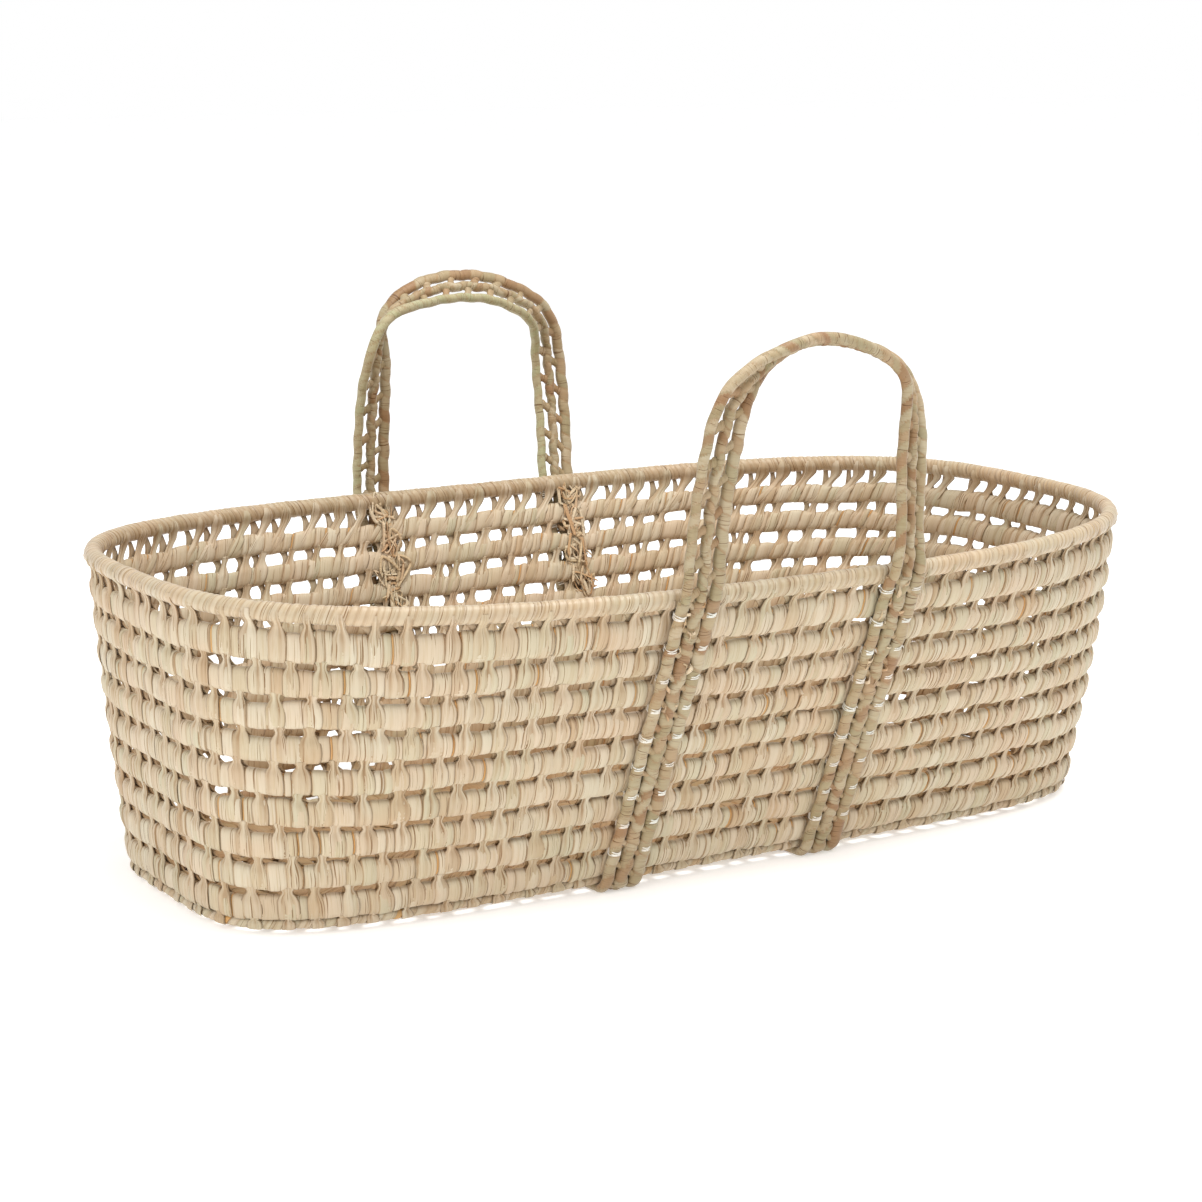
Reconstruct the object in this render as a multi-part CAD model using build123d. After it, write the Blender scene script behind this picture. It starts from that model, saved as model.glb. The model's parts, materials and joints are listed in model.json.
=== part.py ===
"""Coiled palm-leaf moses basket with two carrying handles.

Millimetres. +X runs along the length, +Y to the back, +Z up. The origin is on the
floor, under the centre of the basket, in the plane that the two straps rest on.
"""

from build123d import *
import math
import os

os.makedirs("parts", exist_ok=True)

# --- Overall shape -----------------------------------------------------------
RIM_LENGTH = 840.0          # between the rim's centre lines
RIM_WIDTH = 491.0
RIM_SQUARENESS = 3.0        # 2 is an ellipse, larger is squarer
BASE_LENGTH = 797.0
BASE_WIDTH = 306.0
BASE_SQUARENESS = 4.4
WALL_HEIGHT = 234.0         # base underside to the rim's centre line, at mid-length
RIM_END_LIFT = 6.8          # the rim rises towards its two ends
BASE_END_DROP = 4.4         # the base sags towards its two ends

# --- Coils -------------------------------------------------------------------
COIL_THICKNESS = 8.0
COIL_BAND = 18.4            # height of one wrapped wall row
COIL_CHAMFER = 3.0
WALL_ROWS = 9
ROW_GAP = 5.5               # open gap that the stitches cross
RIM_GAP = 10.0
RIM_DIAMETER = 13.0
RIM_CORE_DIAMETER = 9.0     # hollow of the wrapping
CORE_CLEARANCE = 0.25       # all round, between the wrapping and its bundle
EDGE_COIL_DIAMETER = 7.0
EDGE_COIL_INSET = 1.0
BASE_ROWS = 6
BASE_BAND = 18.0
BASE_GAP = 4.5
BASE_CORE_END_ROOM = 16.0   # the core stops this far short of the first coil's inner end
CURVE_POINTS = 44           # fitting points round one oval outline
ROUND_SIDES = 16            # flats round a round coil
FINE_STEPS = 1440           # straight steps that stand for an outline when it is measured
GUIDE_POINTS = 200          # points round a gap when its stitches are counted

# --- Stitches between the rows ------------------------------------------------
STITCH_PITCH = 23.5
STITCH_WIDTH = 5.0
STITCH_THICKNESS = 3.6
STITCH_BITE = 2.0           # how far a stitch enters the coil at each end

# --- Straps and handles --------------------------------------------------------
CORD_RADIUS = 3.5
CORD_SPACING = 13.0         # centre to centre, three cords side by side
STRAP_X = 92.6              # strap centre line, each side of mid-length
FLOOR_FLAT = 0.4            # worn away under each cord where it meets the floor
STRAP_CLEARANCE = 0.5       # between a strap cord and the coils it passes
STRAP_CORNER_RADIUS = 9.0
HINGE_HEIGHT = 8.0          # bend line of the handle above the rim's centre line
HINGE_GAP = 7.0             # fixed strap stops this far below the bend line
LEG_LENGTH = 76.0           # straight part of a handle, above the bend line
LINK_PITCH = 17.0
LINK_LENGTH = 5.0
LINK_THICKNESS = 4.0
LINK_BITE = 1.5
LOOP_POINTS = 25

# A handle's ribbon of cords turns half round between its ends. Each pair is a share of
# the handle's length, from its left end, and the degrees turned by there.
FRONT_TWIST = ((0, 0), (0.28, 4), (0.38, 50), (0.5, 77), (0.66, 110), (0.78, 147), (0.9, 156), (1, 180))
BACK_TWIST = ((0, 0), (0.12, 12), (0.25, 60), (0.5, 134), (0.75, 140), (0.9, 168), (1, 180))
TWIST_EASE = 0.06           # share of the length that rounds each change of twist

# --- Ties that hold the straps to the wall ----------------------------------------
THREAD = 1.2
THREAD_HEIGHT = 9.5
THREAD_DEPTH = 17.0
RAFFIA = 2.2
RAFFIA_HEIGHT = 13.0
RAFFIA_DEPTH = 19.0
RAFFIA_LEVELS = 4           # levels, from the rim down, that carry a raffia tie

# --- Worked-out heights -------------------------------------------------------------
CORD_FLOOR_HEIGHT = CORD_RADIUS - FLOOR_FLAT
BASE_UNDERSIDE = CORD_FLOOR_HEIGHT + CORD_RADIUS + STRAP_CLEARANCE
TOP_ROW_TOP = WALL_HEIGHT - RIM_DIAMETER / 2 - RIM_GAP
ROW_PITCH = COIL_BAND + ROW_GAP
BASE_PITCH = BASE_BAND + BASE_GAP
BASE_MID_HEIGHT = COIL_THICKNESS / 2
BASE_COILS_EDGE = BASE_ROWS * BASE_PITCH + BASE_BAND / 2
EDGE_COIL_ROOM = BASE_WIDTH / 2 - EDGE_COIL_INSET - EDGE_COIL_DIAMETER / 2 - BASE_COILS_EDGE


def blend(low, high, share):
    """Value part of the way from low to high."""
    return low + (high - low) * share


def oval_points(half_length, half_width, squareness, count):
    """Points spaced evenly along a superellipse, from the +X end, anticlockwise."""
    outline = []
    for step in range(FINE_STEPS + 1):
        turn = 2 * math.pi * step / FINE_STEPS
        cosine, sine = math.cos(turn), math.sin(turn)
        x = half_length * math.copysign(abs(cosine) ** (2 / squareness), cosine)
        y = half_width * math.copysign(abs(sine) ** (2 / squareness), sine)
        outline.append((x, y))
    travelled = [0.0]
    for before, after in zip(outline, outline[1:]):
        travelled.append(travelled[-1] + math.dist(before, after))
    points = []
    index = 0
    for step in range(count):
        wanted = travelled[-1] * step / count
        while travelled[index + 1] < wanted:
            index += 1
        share = (wanted - travelled[index]) / (travelled[index + 1] - travelled[index])
        start, end = outline[index], outline[index + 1]
        points.append((blend(start[0], end[0], share), blend(start[1], end[1], share)))
    return points


def wall_points(height, offset, count):
    """3-D points round the wall at a height above the base's underside."""
    level = height / WALL_HEIGHT
    half_length = blend(BASE_LENGTH, RIM_LENGTH, level) / 2
    half_width = blend(BASE_WIDTH, RIM_WIDTH, level) / 2
    squareness = blend(BASE_SQUARENESS, RIM_SQUARENESS, level)
    end_shift = blend(-BASE_END_DROP, RIM_END_LIFT, level)
    points = []
    for x, y in oval_points(half_length + offset, half_width + offset, squareness, count):
        z = BASE_UNDERSIDE + height + end_shift * (x / half_length) ** 2
        points.append(Vector(x, y, z))
    return points


def base_points(row, offset, height, count):
    """3-D points round one flat coil of the base. Row 1 is next to the core."""
    last_half_length = BASE_LENGTH / 2 - BASE_BAND
    half_length = last_half_length - (BASE_ROWS - row) * BASE_PITCH + offset
    half_width = row * BASE_PITCH + offset
    points = []
    for x, y in oval_points(half_length, half_width, BASE_SQUARENESS, count):
        points.append(Vector(x, y, BASE_UNDERSIDE + height + base_sag(x)))
    return points


def base_sag(x):
    """How far the base hangs below its middle."""
    return -BASE_END_DROP * (x / (BASE_LENGTH / 2)) ** 2


def ring(outlines):
    """Closed ring whose cross-section's corners follow the given outlines."""
    curves = [Edge.make_spline(points, periodic=True) for points in outlines]
    faces = []
    for curve, following in zip(curves, curves[1:] + curves[:1]):
        faces.append(Face.make_surface_from_curves(curve, following))
    return Solid(Shell(faces))


def band_section(half_across, half_along):
    """Corners of a flat coil's cross-section, as (thickness, width) offsets."""
    inner = half_across - COIL_CHAMFER / 2
    straight = half_along - COIL_CHAMFER
    corners = [(-inner, -half_along), (inner, -half_along)]
    corners += [(half_across, -straight), (half_across, straight)]
    return corners + [(-across, -along) for across, along in corners]


def round_section(radius):
    """Corners of a round coil's cross-section."""
    corners = []
    for side in range(ROUND_SIDES):
        turn = 2 * math.pi * side / ROUND_SIDES
        corners.append((radius * math.cos(turn), radius * math.sin(turn)))
    return corners


def wall_ring(section, height, offset=0.0):
    """Coil that runs round the wall with its middle at a height and offset."""
    outlines = []
    for across, along in section:
        outlines.append(wall_points(height + along, offset + across, CURVE_POINTS))
    return ring(outlines)


def base_ring(row):
    """One flat coil of the base."""
    outlines = []
    for across, along in band_section(COIL_THICKNESS / 2, BASE_BAND / 2):
        outlines.append(base_points(row, along, BASE_MID_HEIGHT + across, CURVE_POINTS))
    return ring(outlines)


def base_core():
    """Straight middle coil that the base is wound round."""
    first_coil_half_length = BASE_LENGTH / 2 - BASE_BAND - (BASE_ROWS - 1) * BASE_PITCH
    half_length = first_coil_half_length - BASE_BAND / 2 - BASE_CORE_END_ROOM
    middle = BASE_UNDERSIDE + BASE_MID_HEIGHT
    end_height = middle + base_sag(half_length)
    path = ThreePointArc((-half_length, 0, end_height), (0, 0, middle), (half_length, 0, end_height))
    start = Plane(origin=path @ 0, x_dir=(0, 1, 0), z_dir=path % 0)
    return sweep(start * RectangleRounded(BASE_BAND, COIL_THICKNESS, COIL_CHAMFER), path=path)


def stitch(low, high, along):
    """One leaf stitch between two coils, entering each of them a little."""
    rise = (high - low).normalized()
    length = (high - low).length + 2 * STITCH_BITE
    place = Plane(origin=(low + high) / 2, x_dir=along, z_dir=rise)
    return place * Box(STITCH_WIDTH, STITCH_THICKNESS, length)


def stitch_ring(points_of_count, lower, upper):
    """Stitches round one gap. lower and upper describe the gap's two edges."""
    guide = points_of_count(*lower, GUIDE_POINTS)
    pairs = zip(guide, guide[1:] + guide[:1])
    perimeter = sum((after - before).length for before, after in pairs)
    count = round(perimeter / STITCH_PITCH)
    lows = points_of_count(*lower, count)
    highs = points_of_count(*upper, count)
    stitches = []
    for index in range(count):
        along = (lows[(index + 1) % count] - lows[index - 1]).normalized()
        stitches.append(stitch(lows[index], highs[index], along))
    return Compound(children=stitches)


def strap_line():
    """Bend line, fixed top end and bottom corner of the front strap, in the YZ plane."""
    rim_y = strap_wall_y(WALL_HEIGHT)
    rim_z = BASE_UNDERSIDE + WALL_HEIGHT + RIM_END_LIFT * (STRAP_X / (RIM_LENGTH / 2)) ** 2
    base_y = strap_wall_y(0)
    slope = math.atan2(base_y - rim_y, WALL_HEIGHT)
    rim_offset = RIM_DIAMETER / 2 + CORD_RADIUS + STRAP_CLEARANCE
    beside_rim = (rim_y - rim_offset * math.cos(slope), rim_z - rim_offset * math.sin(slope))
    base_offset = COIL_THICKNESS / 2 + CORD_RADIUS + STRAP_CLEARANCE
    beside_base = (base_y - base_offset / math.cos(slope), BASE_UNDERSIDE)
    run = (beside_rim[0] - beside_base[0]) / (beside_rim[1] - beside_base[1])
    hinge_z = rim_z + HINGE_HEIGHT
    hinge_y = beside_rim[0] + run * (hinge_z - beside_rim[1])
    top_z = hinge_z - HINGE_GAP
    top_y = hinge_y - run * HINGE_GAP
    corner_y = beside_base[0] + run * (CORD_FLOOR_HEIGHT - beside_base[1])
    return (hinge_y, hinge_z), (top_y, top_z), (corner_y, CORD_FLOOR_HEIGHT)


def strap_wall_y(height):
    """Y of the front wall's middle surface where a strap runs."""
    level = height / WALL_HEIGHT
    half_length = blend(BASE_LENGTH, RIM_LENGTH, level) / 2
    half_width = blend(BASE_WIDTH, RIM_WIDTH, level) / 2
    squareness = blend(BASE_SQUARENESS, RIM_SQUARENESS, level)
    return -half_width * (1 - (STRAP_X / half_length) ** squareness) ** (1 / squareness)


def strap_path(x):
    """Line of a strap cord: down the front wall, under the base and up the back."""
    (_, _), (top_y, top_z), (corner_y, corner_z) = strap_line()
    front = [(x, top_y, top_z), (x, corner_y, corner_z)]
    back = [(x, -corner_y, corner_z), (x, -top_y, top_z)]
    return FilletPolyline(*front, *back, radius=STRAP_CORNER_RADIUS)


def strap_cord(x):
    """One strap cord, worn flat where it stands on the floor."""
    path = strap_path(x)
    cord = sweep(Plane(origin=path @ 0, z_dir=path % 0) * Circle(CORD_RADIUS), path=path)
    floor = Pos(x, 0, -CORD_RADIUS) * Box(4 * CORD_RADIUS, BASE_WIDTH * 2, 2 * CORD_RADIUS)
    return cord - floor


def strap_links(x):
    """Short leaf links between a strap's three cords, in the two gaps by turns."""
    path = strap_path(x)
    count = int(path.length / LINK_PITCH)
    links = []
    for index in range(1, count):
        place = path.location_at(index / count)
        tangent = path.tangent_at(index / count)
        side = -1 if index % 2 else 1
        centre = place.position + Vector(side * CORD_SPACING / 2, 0, 0)
        links.append(link(centre, Vector(1, 0, 0), tangent))
    return Compound(children=links)


def link(centre, across, along):
    """One link between two neighbouring cords."""
    width = CORD_SPACING - 2 * CORD_RADIUS + 2 * LINK_BITE
    return Plane(origin=centre, x_dir=across, z_dir=along) * Box(width, LINK_THICKNESS, LINK_LENGTH)


def twist_angle(share, twist):
    """Degrees that a handle's ribbon has turned at a share of its length."""
    total = 0.0
    samples = (-1.0, -0.5, 0.0, 0.5, 1.0)
    ease = min(TWIST_EASE, share, 1 - share)
    for sample in samples:
        place = share + sample * ease
        for (start, low), (end, high) in zip(twist, twist[1:]):
            if start <= place <= end:
                total += blend(low, high, (place - start) / (end - start)) / len(samples)
                break
    return total


def loop_frame(share, twist):
    """Centre, tangent and ribbon direction of the front handle, from its left end.

    Two straight legs join a half circle. The ribbon lies flat across the wall at both
    ends, with its left cord on the left, and turns half round on the way.
    """
    (hinge_y, hinge_z), _, _ = strap_line()
    arc = math.pi * STRAP_X
    total = 2 * LEG_LENGTH + arc
    travelled = share * total
    if travelled < LEG_LENGTH:
        turn = 0.0
        centre = Vector(-STRAP_X, hinge_y, hinge_z + travelled)
    elif travelled > LEG_LENGTH + arc:
        turn = math.pi
        centre = Vector(STRAP_X, hinge_y, hinge_z + total - travelled)
    else:
        turn = (travelled - LEG_LENGTH) / STRAP_X
        rise = LEG_LENGTH + STRAP_X * math.sin(turn)
        centre = Vector(-STRAP_X * math.cos(turn), hinge_y, hinge_z + rise)
    tangent = Vector(math.sin(turn), 0, math.cos(turn))
    outward = Vector(-math.cos(turn), 0, math.sin(turn))
    angle = math.radians(twist_angle(share, twist))
    leftward = outward * math.cos(angle) + Vector(0, -1, 0) * math.sin(angle)
    return centre, tangent, leftward


def handle_cord(offset, twist):
    """One of the three cords of the front handle, ending on the bend line."""
    centres = []
    sideways = []
    for step in range(LOOP_POINTS):
        centre, _, leftward = loop_frame(step / (LOOP_POINTS - 1), twist)
        centres.append(centre - leftward * offset)
        sideways.append(leftward)
    return tube(centres, sideways, CORD_RADIUS)


def tube(centres, sideways, radius):
    """Round cord through the centres. Each sideways vector points out of the cord."""
    rails = [[] for _ in range(ROUND_SIDES)]
    last = len(centres) - 1
    for index, centre in enumerate(centres):
        tangent = (centres[min(index + 1, last)] - centres[max(index - 1, 0)]).normalized()
        across = (sideways[index] - tangent * sideways[index].dot(tangent)).normalized()
        upright = tangent.cross(across)
        for rail, (wide, tall) in zip(rails, round_section(radius)):
            rail.append(centre + across * wide + upright * tall)
    curves = [Edge.make_spline(rail) for rail in rails]
    faces = []
    for curve, following in zip(curves, curves[1:] + curves[:1]):
        faces.append(Face.make_surface_from_curves(curve, following))
    for end in (0, last):
        faces.append(Face(Wire.make_polygon([rail[end] for rail in rails])))
    return Solid(Shell(faces))


def handle_links(twist):
    """Short leaf links between a handle's cords, in the two gaps by turns."""
    total = 2 * LEG_LENGTH + math.pi * STRAP_X
    count = int(total / LINK_PITCH)
    links = []
    for index in range(1, count):
        centre, tangent, leftward = loop_frame(index / count, twist)
        side = -1 if index % 2 else 1
        links.append(link(centre + leftward * (side * CORD_SPACING / 2), leftward, tangent))
    return Compound(children=links)


def to_back(shape):
    """The same piece on the back wall."""
    return shape.mirror(Plane.XZ)


def back_handle(shape):
    """The same loop, moved straight across to the back wall, twisting the same way."""
    (hinge_y, _), _, _ = strap_line()
    return Pos(0, -2 * hinge_y, 0) * shape


def tie_heights():
    """Height of each level of ties: at the foot of the rim's gap, then in each row gap."""
    heights = [TOP_ROW_TOP]
    for row in range(1, WALL_ROWS):
        heights.append(TOP_ROW_TOP - row * ROW_PITCH + ROW_GAP / 2)
    return heights


def tie(x, height, thread, tall, deep):
    """Thread round a strap cord and through the gap behind it."""
    _, (top_y, top_z), (corner_y, corner_z) = strap_line()
    z = BASE_UNDERSIDE + height
    y = corner_y + (top_y - corner_y) * (z - corner_z) / (top_z - corner_z)
    up = Vector(0, top_y - corner_y, top_z - corner_z).normalized()
    inward = Vector(0, up.Z, -up.Y)
    reach = CORD_RADIUS + thread
    middle = Vector(x, y, z) + inward * (deep / 2 - reach)
    frame = Box(thread, deep, tall) - Box(2 * thread, deep - 2 * thread, tall - 2 * thread)
    return Plane(origin=middle, x_dir=(1, 0, 0), z_dir=up) * frame


def tie_set(x_places, heights, thread, tall, deep):
    """The same tie at each place and height, on the front and the back wall."""
    ties = []
    for x in x_places:
        for height in heights:
            front = tie(x, height, thread, tall, deep)
            ties.extend([front, to_back(front)])
    return Compound(children=ties)


def write(name, shape):
    """Save one piece under its own name."""
    shape.label = name
    export_step(shape, f"parts/{name}.step")


def write_wall():
    """Rim, nine wall rows, the thin coil at the base's edge and their stitches."""
    rim_outer = wall_ring(round_section(RIM_DIAMETER / 2), WALL_HEIGHT)
    rim_core_room = wall_ring(round_section(RIM_CORE_DIAMETER / 2), WALL_HEIGHT)
    write("rim_wrap", rim_outer - rim_core_room)
    core_radius = RIM_CORE_DIAMETER / 2 - CORE_CLEARANCE
    write("rim_core", wall_ring(round_section(core_radius), WALL_HEIGHT))
    rim_underside = WALL_HEIGHT - RIM_DIAMETER / 2
    write("rim_stitches", stitch_ring(wall_points, (TOP_ROW_TOP, 0), (rim_underside, 0)))
    section = band_section(COIL_THICKNESS / 2, COIL_BAND / 2)
    for row in range(1, WALL_ROWS + 1):
        top = TOP_ROW_TOP - (row - 1) * ROW_PITCH
        write(f"wall_coil_{row:02d}", wall_ring(section, top - COIL_BAND / 2))
        if row < WALL_ROWS:
            bottom = top - COIL_BAND
            stitches = stitch_ring(wall_points, (bottom - ROW_GAP, 0), (bottom, 0))
            write(f"wall_stitches_{row:02d}", stitches)
    edge_radius = EDGE_COIL_DIAMETER / 2
    edge_coil = wall_ring(round_section(edge_radius), edge_radius, -EDGE_COIL_INSET)
    write("base_edge_coil", edge_coil)
    lowest = TOP_ROW_TOP - (WALL_ROWS - 1) * ROW_PITCH - COIL_BAND
    lower = (EDGE_COIL_DIAMETER, -EDGE_COIL_INSET)
    write("edge_stitches", stitch_ring(wall_points, lower, (lowest, 0)))


def write_base():
    """Straight core, six flat coils round it and the stitches out to the edge coil."""
    write("base_core", base_core())
    for row in range(1, BASE_ROWS + 1):
        write(f"base_coil_{row}", base_ring(row))
        if row > 1:
            inner_edge = (row - 1, BASE_BAND / 2, BASE_MID_HEIGHT)
            outer_edge = (row, -BASE_BAND / 2, BASE_MID_HEIGHT)
            write(f"base_stitches_{row}", stitch_ring(base_points, inner_edge, outer_edge))
    write("base_stitches_1", core_stitches())
    outside = BASE_BAND / 2 + EDGE_COIL_ROOM
    coil_edge = (BASE_ROWS, BASE_BAND / 2, BASE_MID_HEIGHT)
    edge_coil_side = (BASE_ROWS, outside, BASE_MID_HEIGHT)
    last_stitches = stitch_ring(base_points, coil_edge, edge_coil_side)
    write(f"base_stitches_{BASE_ROWS + 1}", last_stitches)


def core_stitches():
    """Stitches from the base's core to the first coil, along both long sides."""
    half_run = BASE_LENGTH / 2 - BASE_BAND - BASE_ROWS * BASE_PITCH - BASE_PITCH
    count = round(2 * half_run / STITCH_PITCH)
    stitches = []
    for index in range(count + 1):
        x = -half_run + 2 * half_run * index / count
        z = BASE_UNDERSIDE + BASE_MID_HEIGHT + base_sag(x)
        for side in (-1, 1):
            low = Vector(x, side * BASE_BAND / 2, z)
            high = Vector(x, side * (BASE_BAND / 2 + BASE_GAP), z)
            stitches.append(stitch(low, high, Vector(1, 0, 0)))
    return Compound(children=stitches)


def write_straps_and_handles():
    """Two straps round the body, and the two handle loops that carry on from them."""
    places = {"left": -CORD_SPACING, "middle": 0.0, "right": CORD_SPACING}
    for strap, strap_x in (("left", -STRAP_X), ("right", STRAP_X)):
        for place, offset in places.items():
            write(f"{strap}_strap_{place}_cord", strap_cord(strap_x + offset))
        write(f"{strap}_strap_links", strap_links(strap_x))
    for place, offset in places.items():
        write(f"front_handle_{place}_cord", handle_cord(offset, FRONT_TWIST))
        write(f"back_handle_{place}_cord", back_handle(handle_cord(offset, BACK_TWIST)))
    write("front_handle_links", handle_links(FRONT_TWIST))
    write("back_handle_links", back_handle(handle_links(BACK_TWIST)))


def write_ties():
    """White cotton at the straps' edges, and raffia on their middles near the rim."""
    edges = []
    middles = []
    for strap_x in (-STRAP_X, STRAP_X):
        edges.extend([strap_x - CORD_SPACING, strap_x + CORD_SPACING])
        middles.append(strap_x)
    heights = tie_heights()
    write("cotton_ties", tie_set(edges, heights, THREAD, THREAD_HEIGHT, THREAD_DEPTH))
    raffia_heights = heights[:RAFFIA_LEVELS]
    write("raffia_ties", tie_set(middles, raffia_heights, RAFFIA, RAFFIA_HEIGHT, RAFFIA_DEPTH))


write_wall()
write_base()
write_straps_and_handles()
write_ties()
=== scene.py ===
"""Looks of a coiled palm-leaf moses basket, built over its CAD frame.

The generators work in millimetres, and build() turns them into metres. Everything that
shows is woven here: wrapped rows, leaf stitches, a wrapped rim, cords, links and ties.
"""
import math

import bpy
import numpy as np
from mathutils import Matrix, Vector
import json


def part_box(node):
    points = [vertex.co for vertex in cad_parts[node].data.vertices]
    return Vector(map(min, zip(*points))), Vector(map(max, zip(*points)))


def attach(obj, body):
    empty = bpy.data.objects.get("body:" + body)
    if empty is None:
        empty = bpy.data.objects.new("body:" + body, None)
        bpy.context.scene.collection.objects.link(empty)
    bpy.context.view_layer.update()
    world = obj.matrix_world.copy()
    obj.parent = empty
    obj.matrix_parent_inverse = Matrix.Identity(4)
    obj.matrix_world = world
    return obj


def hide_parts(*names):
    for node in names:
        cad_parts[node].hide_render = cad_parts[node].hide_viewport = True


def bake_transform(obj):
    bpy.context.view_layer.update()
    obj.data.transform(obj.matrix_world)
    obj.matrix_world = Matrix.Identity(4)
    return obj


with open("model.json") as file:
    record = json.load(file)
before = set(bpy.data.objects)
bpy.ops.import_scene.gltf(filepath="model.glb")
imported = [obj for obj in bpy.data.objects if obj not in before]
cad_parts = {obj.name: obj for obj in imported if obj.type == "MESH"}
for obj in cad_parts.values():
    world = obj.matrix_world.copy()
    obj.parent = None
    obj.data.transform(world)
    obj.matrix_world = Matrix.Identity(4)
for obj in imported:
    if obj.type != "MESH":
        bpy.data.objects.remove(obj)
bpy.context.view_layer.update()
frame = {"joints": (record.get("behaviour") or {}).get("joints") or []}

MM = 0.001

# --- Sizes of the woven work, in millimetres ---
WALL_HEIGHT = 234.0  # base underside to the rim's centre line, at mid-length
RIM_RADIUS = 6.5
EDGE_RADIUS = 3.5  # round coil at the base's edge
EDGE_INSET = 1.0  # its centre line lies this far inside the wall's surface
RIM_SQUARENESS = 3.0  # 2 is an ellipse, larger is squarer
BASE_SQUARENESS = 4.4
RIM_END_LIFT = 6.8  # the rim rises towards its two ends
BASE_END_DROP = 4.4  # the base sags towards its two ends
WALL_ROWS = 9
ROW_BAND = 18.4  # height of a wall row
ROW_GAP = 5.5  # open gap that the stitches cross
RIM_GAP = 10.0  # the same under the rim
BASE_ROWS = 6
BASE_BAND = 18.0
BASE_GAP = 4.5
COIL_THICKNESS = 8.0
STITCH_PITCH = 23.5
CORD_RADIUS = 3.5
CORD_SPACING = 13.0  # between the middles of neighbouring cords
FLOOR_CLEARANCE = 0.2  # nothing reaches below this
WALL_BELOW = 6.0  # the wall's surface goes on this far below its foot
WALL_ABOVE = 12.0  # and this far above the rim's centre line
BASE_INNERMOST = 6.0  # the base's surface starts this far from its middle line


def node_box(node):
    """Lowest and highest corner of a CAD node, in millimetres."""
    low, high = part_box(node)
    return np.array(low) / MM, np.array(high) / MM


rim_low, rim_high = node_box("rim_wrap")
edge_low, edge_high = node_box("base_edge_coil")
RIM_HALF_LENGTH = rim_high[0] - RIM_RADIUS
RIM_HALF_WIDTH = rim_high[1] - RIM_RADIUS
UNDERSIDE = rim_low[2] + RIM_RADIUS - WALL_HEIGHT
EDGE_LEVEL = EDGE_RADIUS / WALL_HEIGHT
edge_half_length = edge_high[0] - EDGE_RADIUS + EDGE_INSET
edge_half_width = edge_high[1] - EDGE_RADIUS + EDGE_INSET
BASE_HALF_LENGTH = (edge_half_length - RIM_HALF_LENGTH * EDGE_LEVEL) / (1 - EDGE_LEVEL)
BASE_HALF_WIDTH = (edge_half_width - RIM_HALF_WIDTH * EDGE_LEVEL) / (1 - EDGE_LEVEL)

ROW_PITCH = ROW_BAND + ROW_GAP
TOP_ROW_TOP = WALL_HEIGHT - RIM_RADIUS - RIM_GAP
BASE_PITCH = BASE_BAND + BASE_GAP


# --- Small tools ---
def mix(low, high, share):
    """Value part of the way from low to high."""
    return low + (high - low) * share


def unit(vectors):
    """The vectors at length one."""
    return vectors / np.linalg.norm(vectors, axis=-1, keepdims=True)


def ripple(share, waves, rng):
    """Soft closed wave round a ring, between about -1 and 1."""
    total = np.zeros_like(share)
    for wave in waves:
        total += np.sin(2 * np.pi * (wave * share + rng.random()))
    return total / math.sqrt(len(waves))


def oval(half_length, half_width, squareness, count):
    """Points spaced evenly along a superellipse from the +X end, and its length."""
    turn = np.linspace(0, 2 * np.pi, 6 * count + 1)
    cosine, sine = np.cos(turn), np.sin(turn)
    x = half_length * np.sign(cosine) * np.abs(cosine) ** (2 / squareness)
    y = half_width * np.sign(sine) * np.abs(sine) ** (2 / squareness)
    travelled = np.concatenate([[0], np.cumsum(np.hypot(np.diff(x), np.diff(y)))])
    wanted = np.arange(count) * travelled[-1] / count
    return np.interp(wanted, travelled, x), np.interp(wanted, travelled, y), travelled[-1]


def wall_outline(height, count):
    """Outline of the wall's middle surface at a height above the base's underside."""
    level = height / WALL_HEIGHT
    half_length = mix(BASE_HALF_LENGTH, RIM_HALF_LENGTH, level)
    half_width = mix(BASE_HALF_WIDTH, RIM_HALF_WIDTH, level)
    x, y, length = oval(half_length, half_width, mix(BASE_SQUARENESS, RIM_SQUARENESS, level), count)
    z = UNDERSIDE + height + mix(-BASE_END_DROP, RIM_END_LIFT, level) * (x / half_length) ** 2
    return np.stack([x, y, z], axis=-1), length


def base_outline(distance, count):
    """Outline round the base, at a distance out from its middle line."""
    core_half = BASE_HALF_LENGTH - BASE_BAND - BASE_ROWS * BASE_PITCH
    x, y, length = oval(core_half + distance, distance, BASE_SQUARENESS, count)
    z = UNDERSIDE + COIL_THICKNESS / 2 - BASE_END_DROP * (x / BASE_HALF_LENGTH) ** 2
    return np.stack([x, y, z], axis=-1), length


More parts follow.
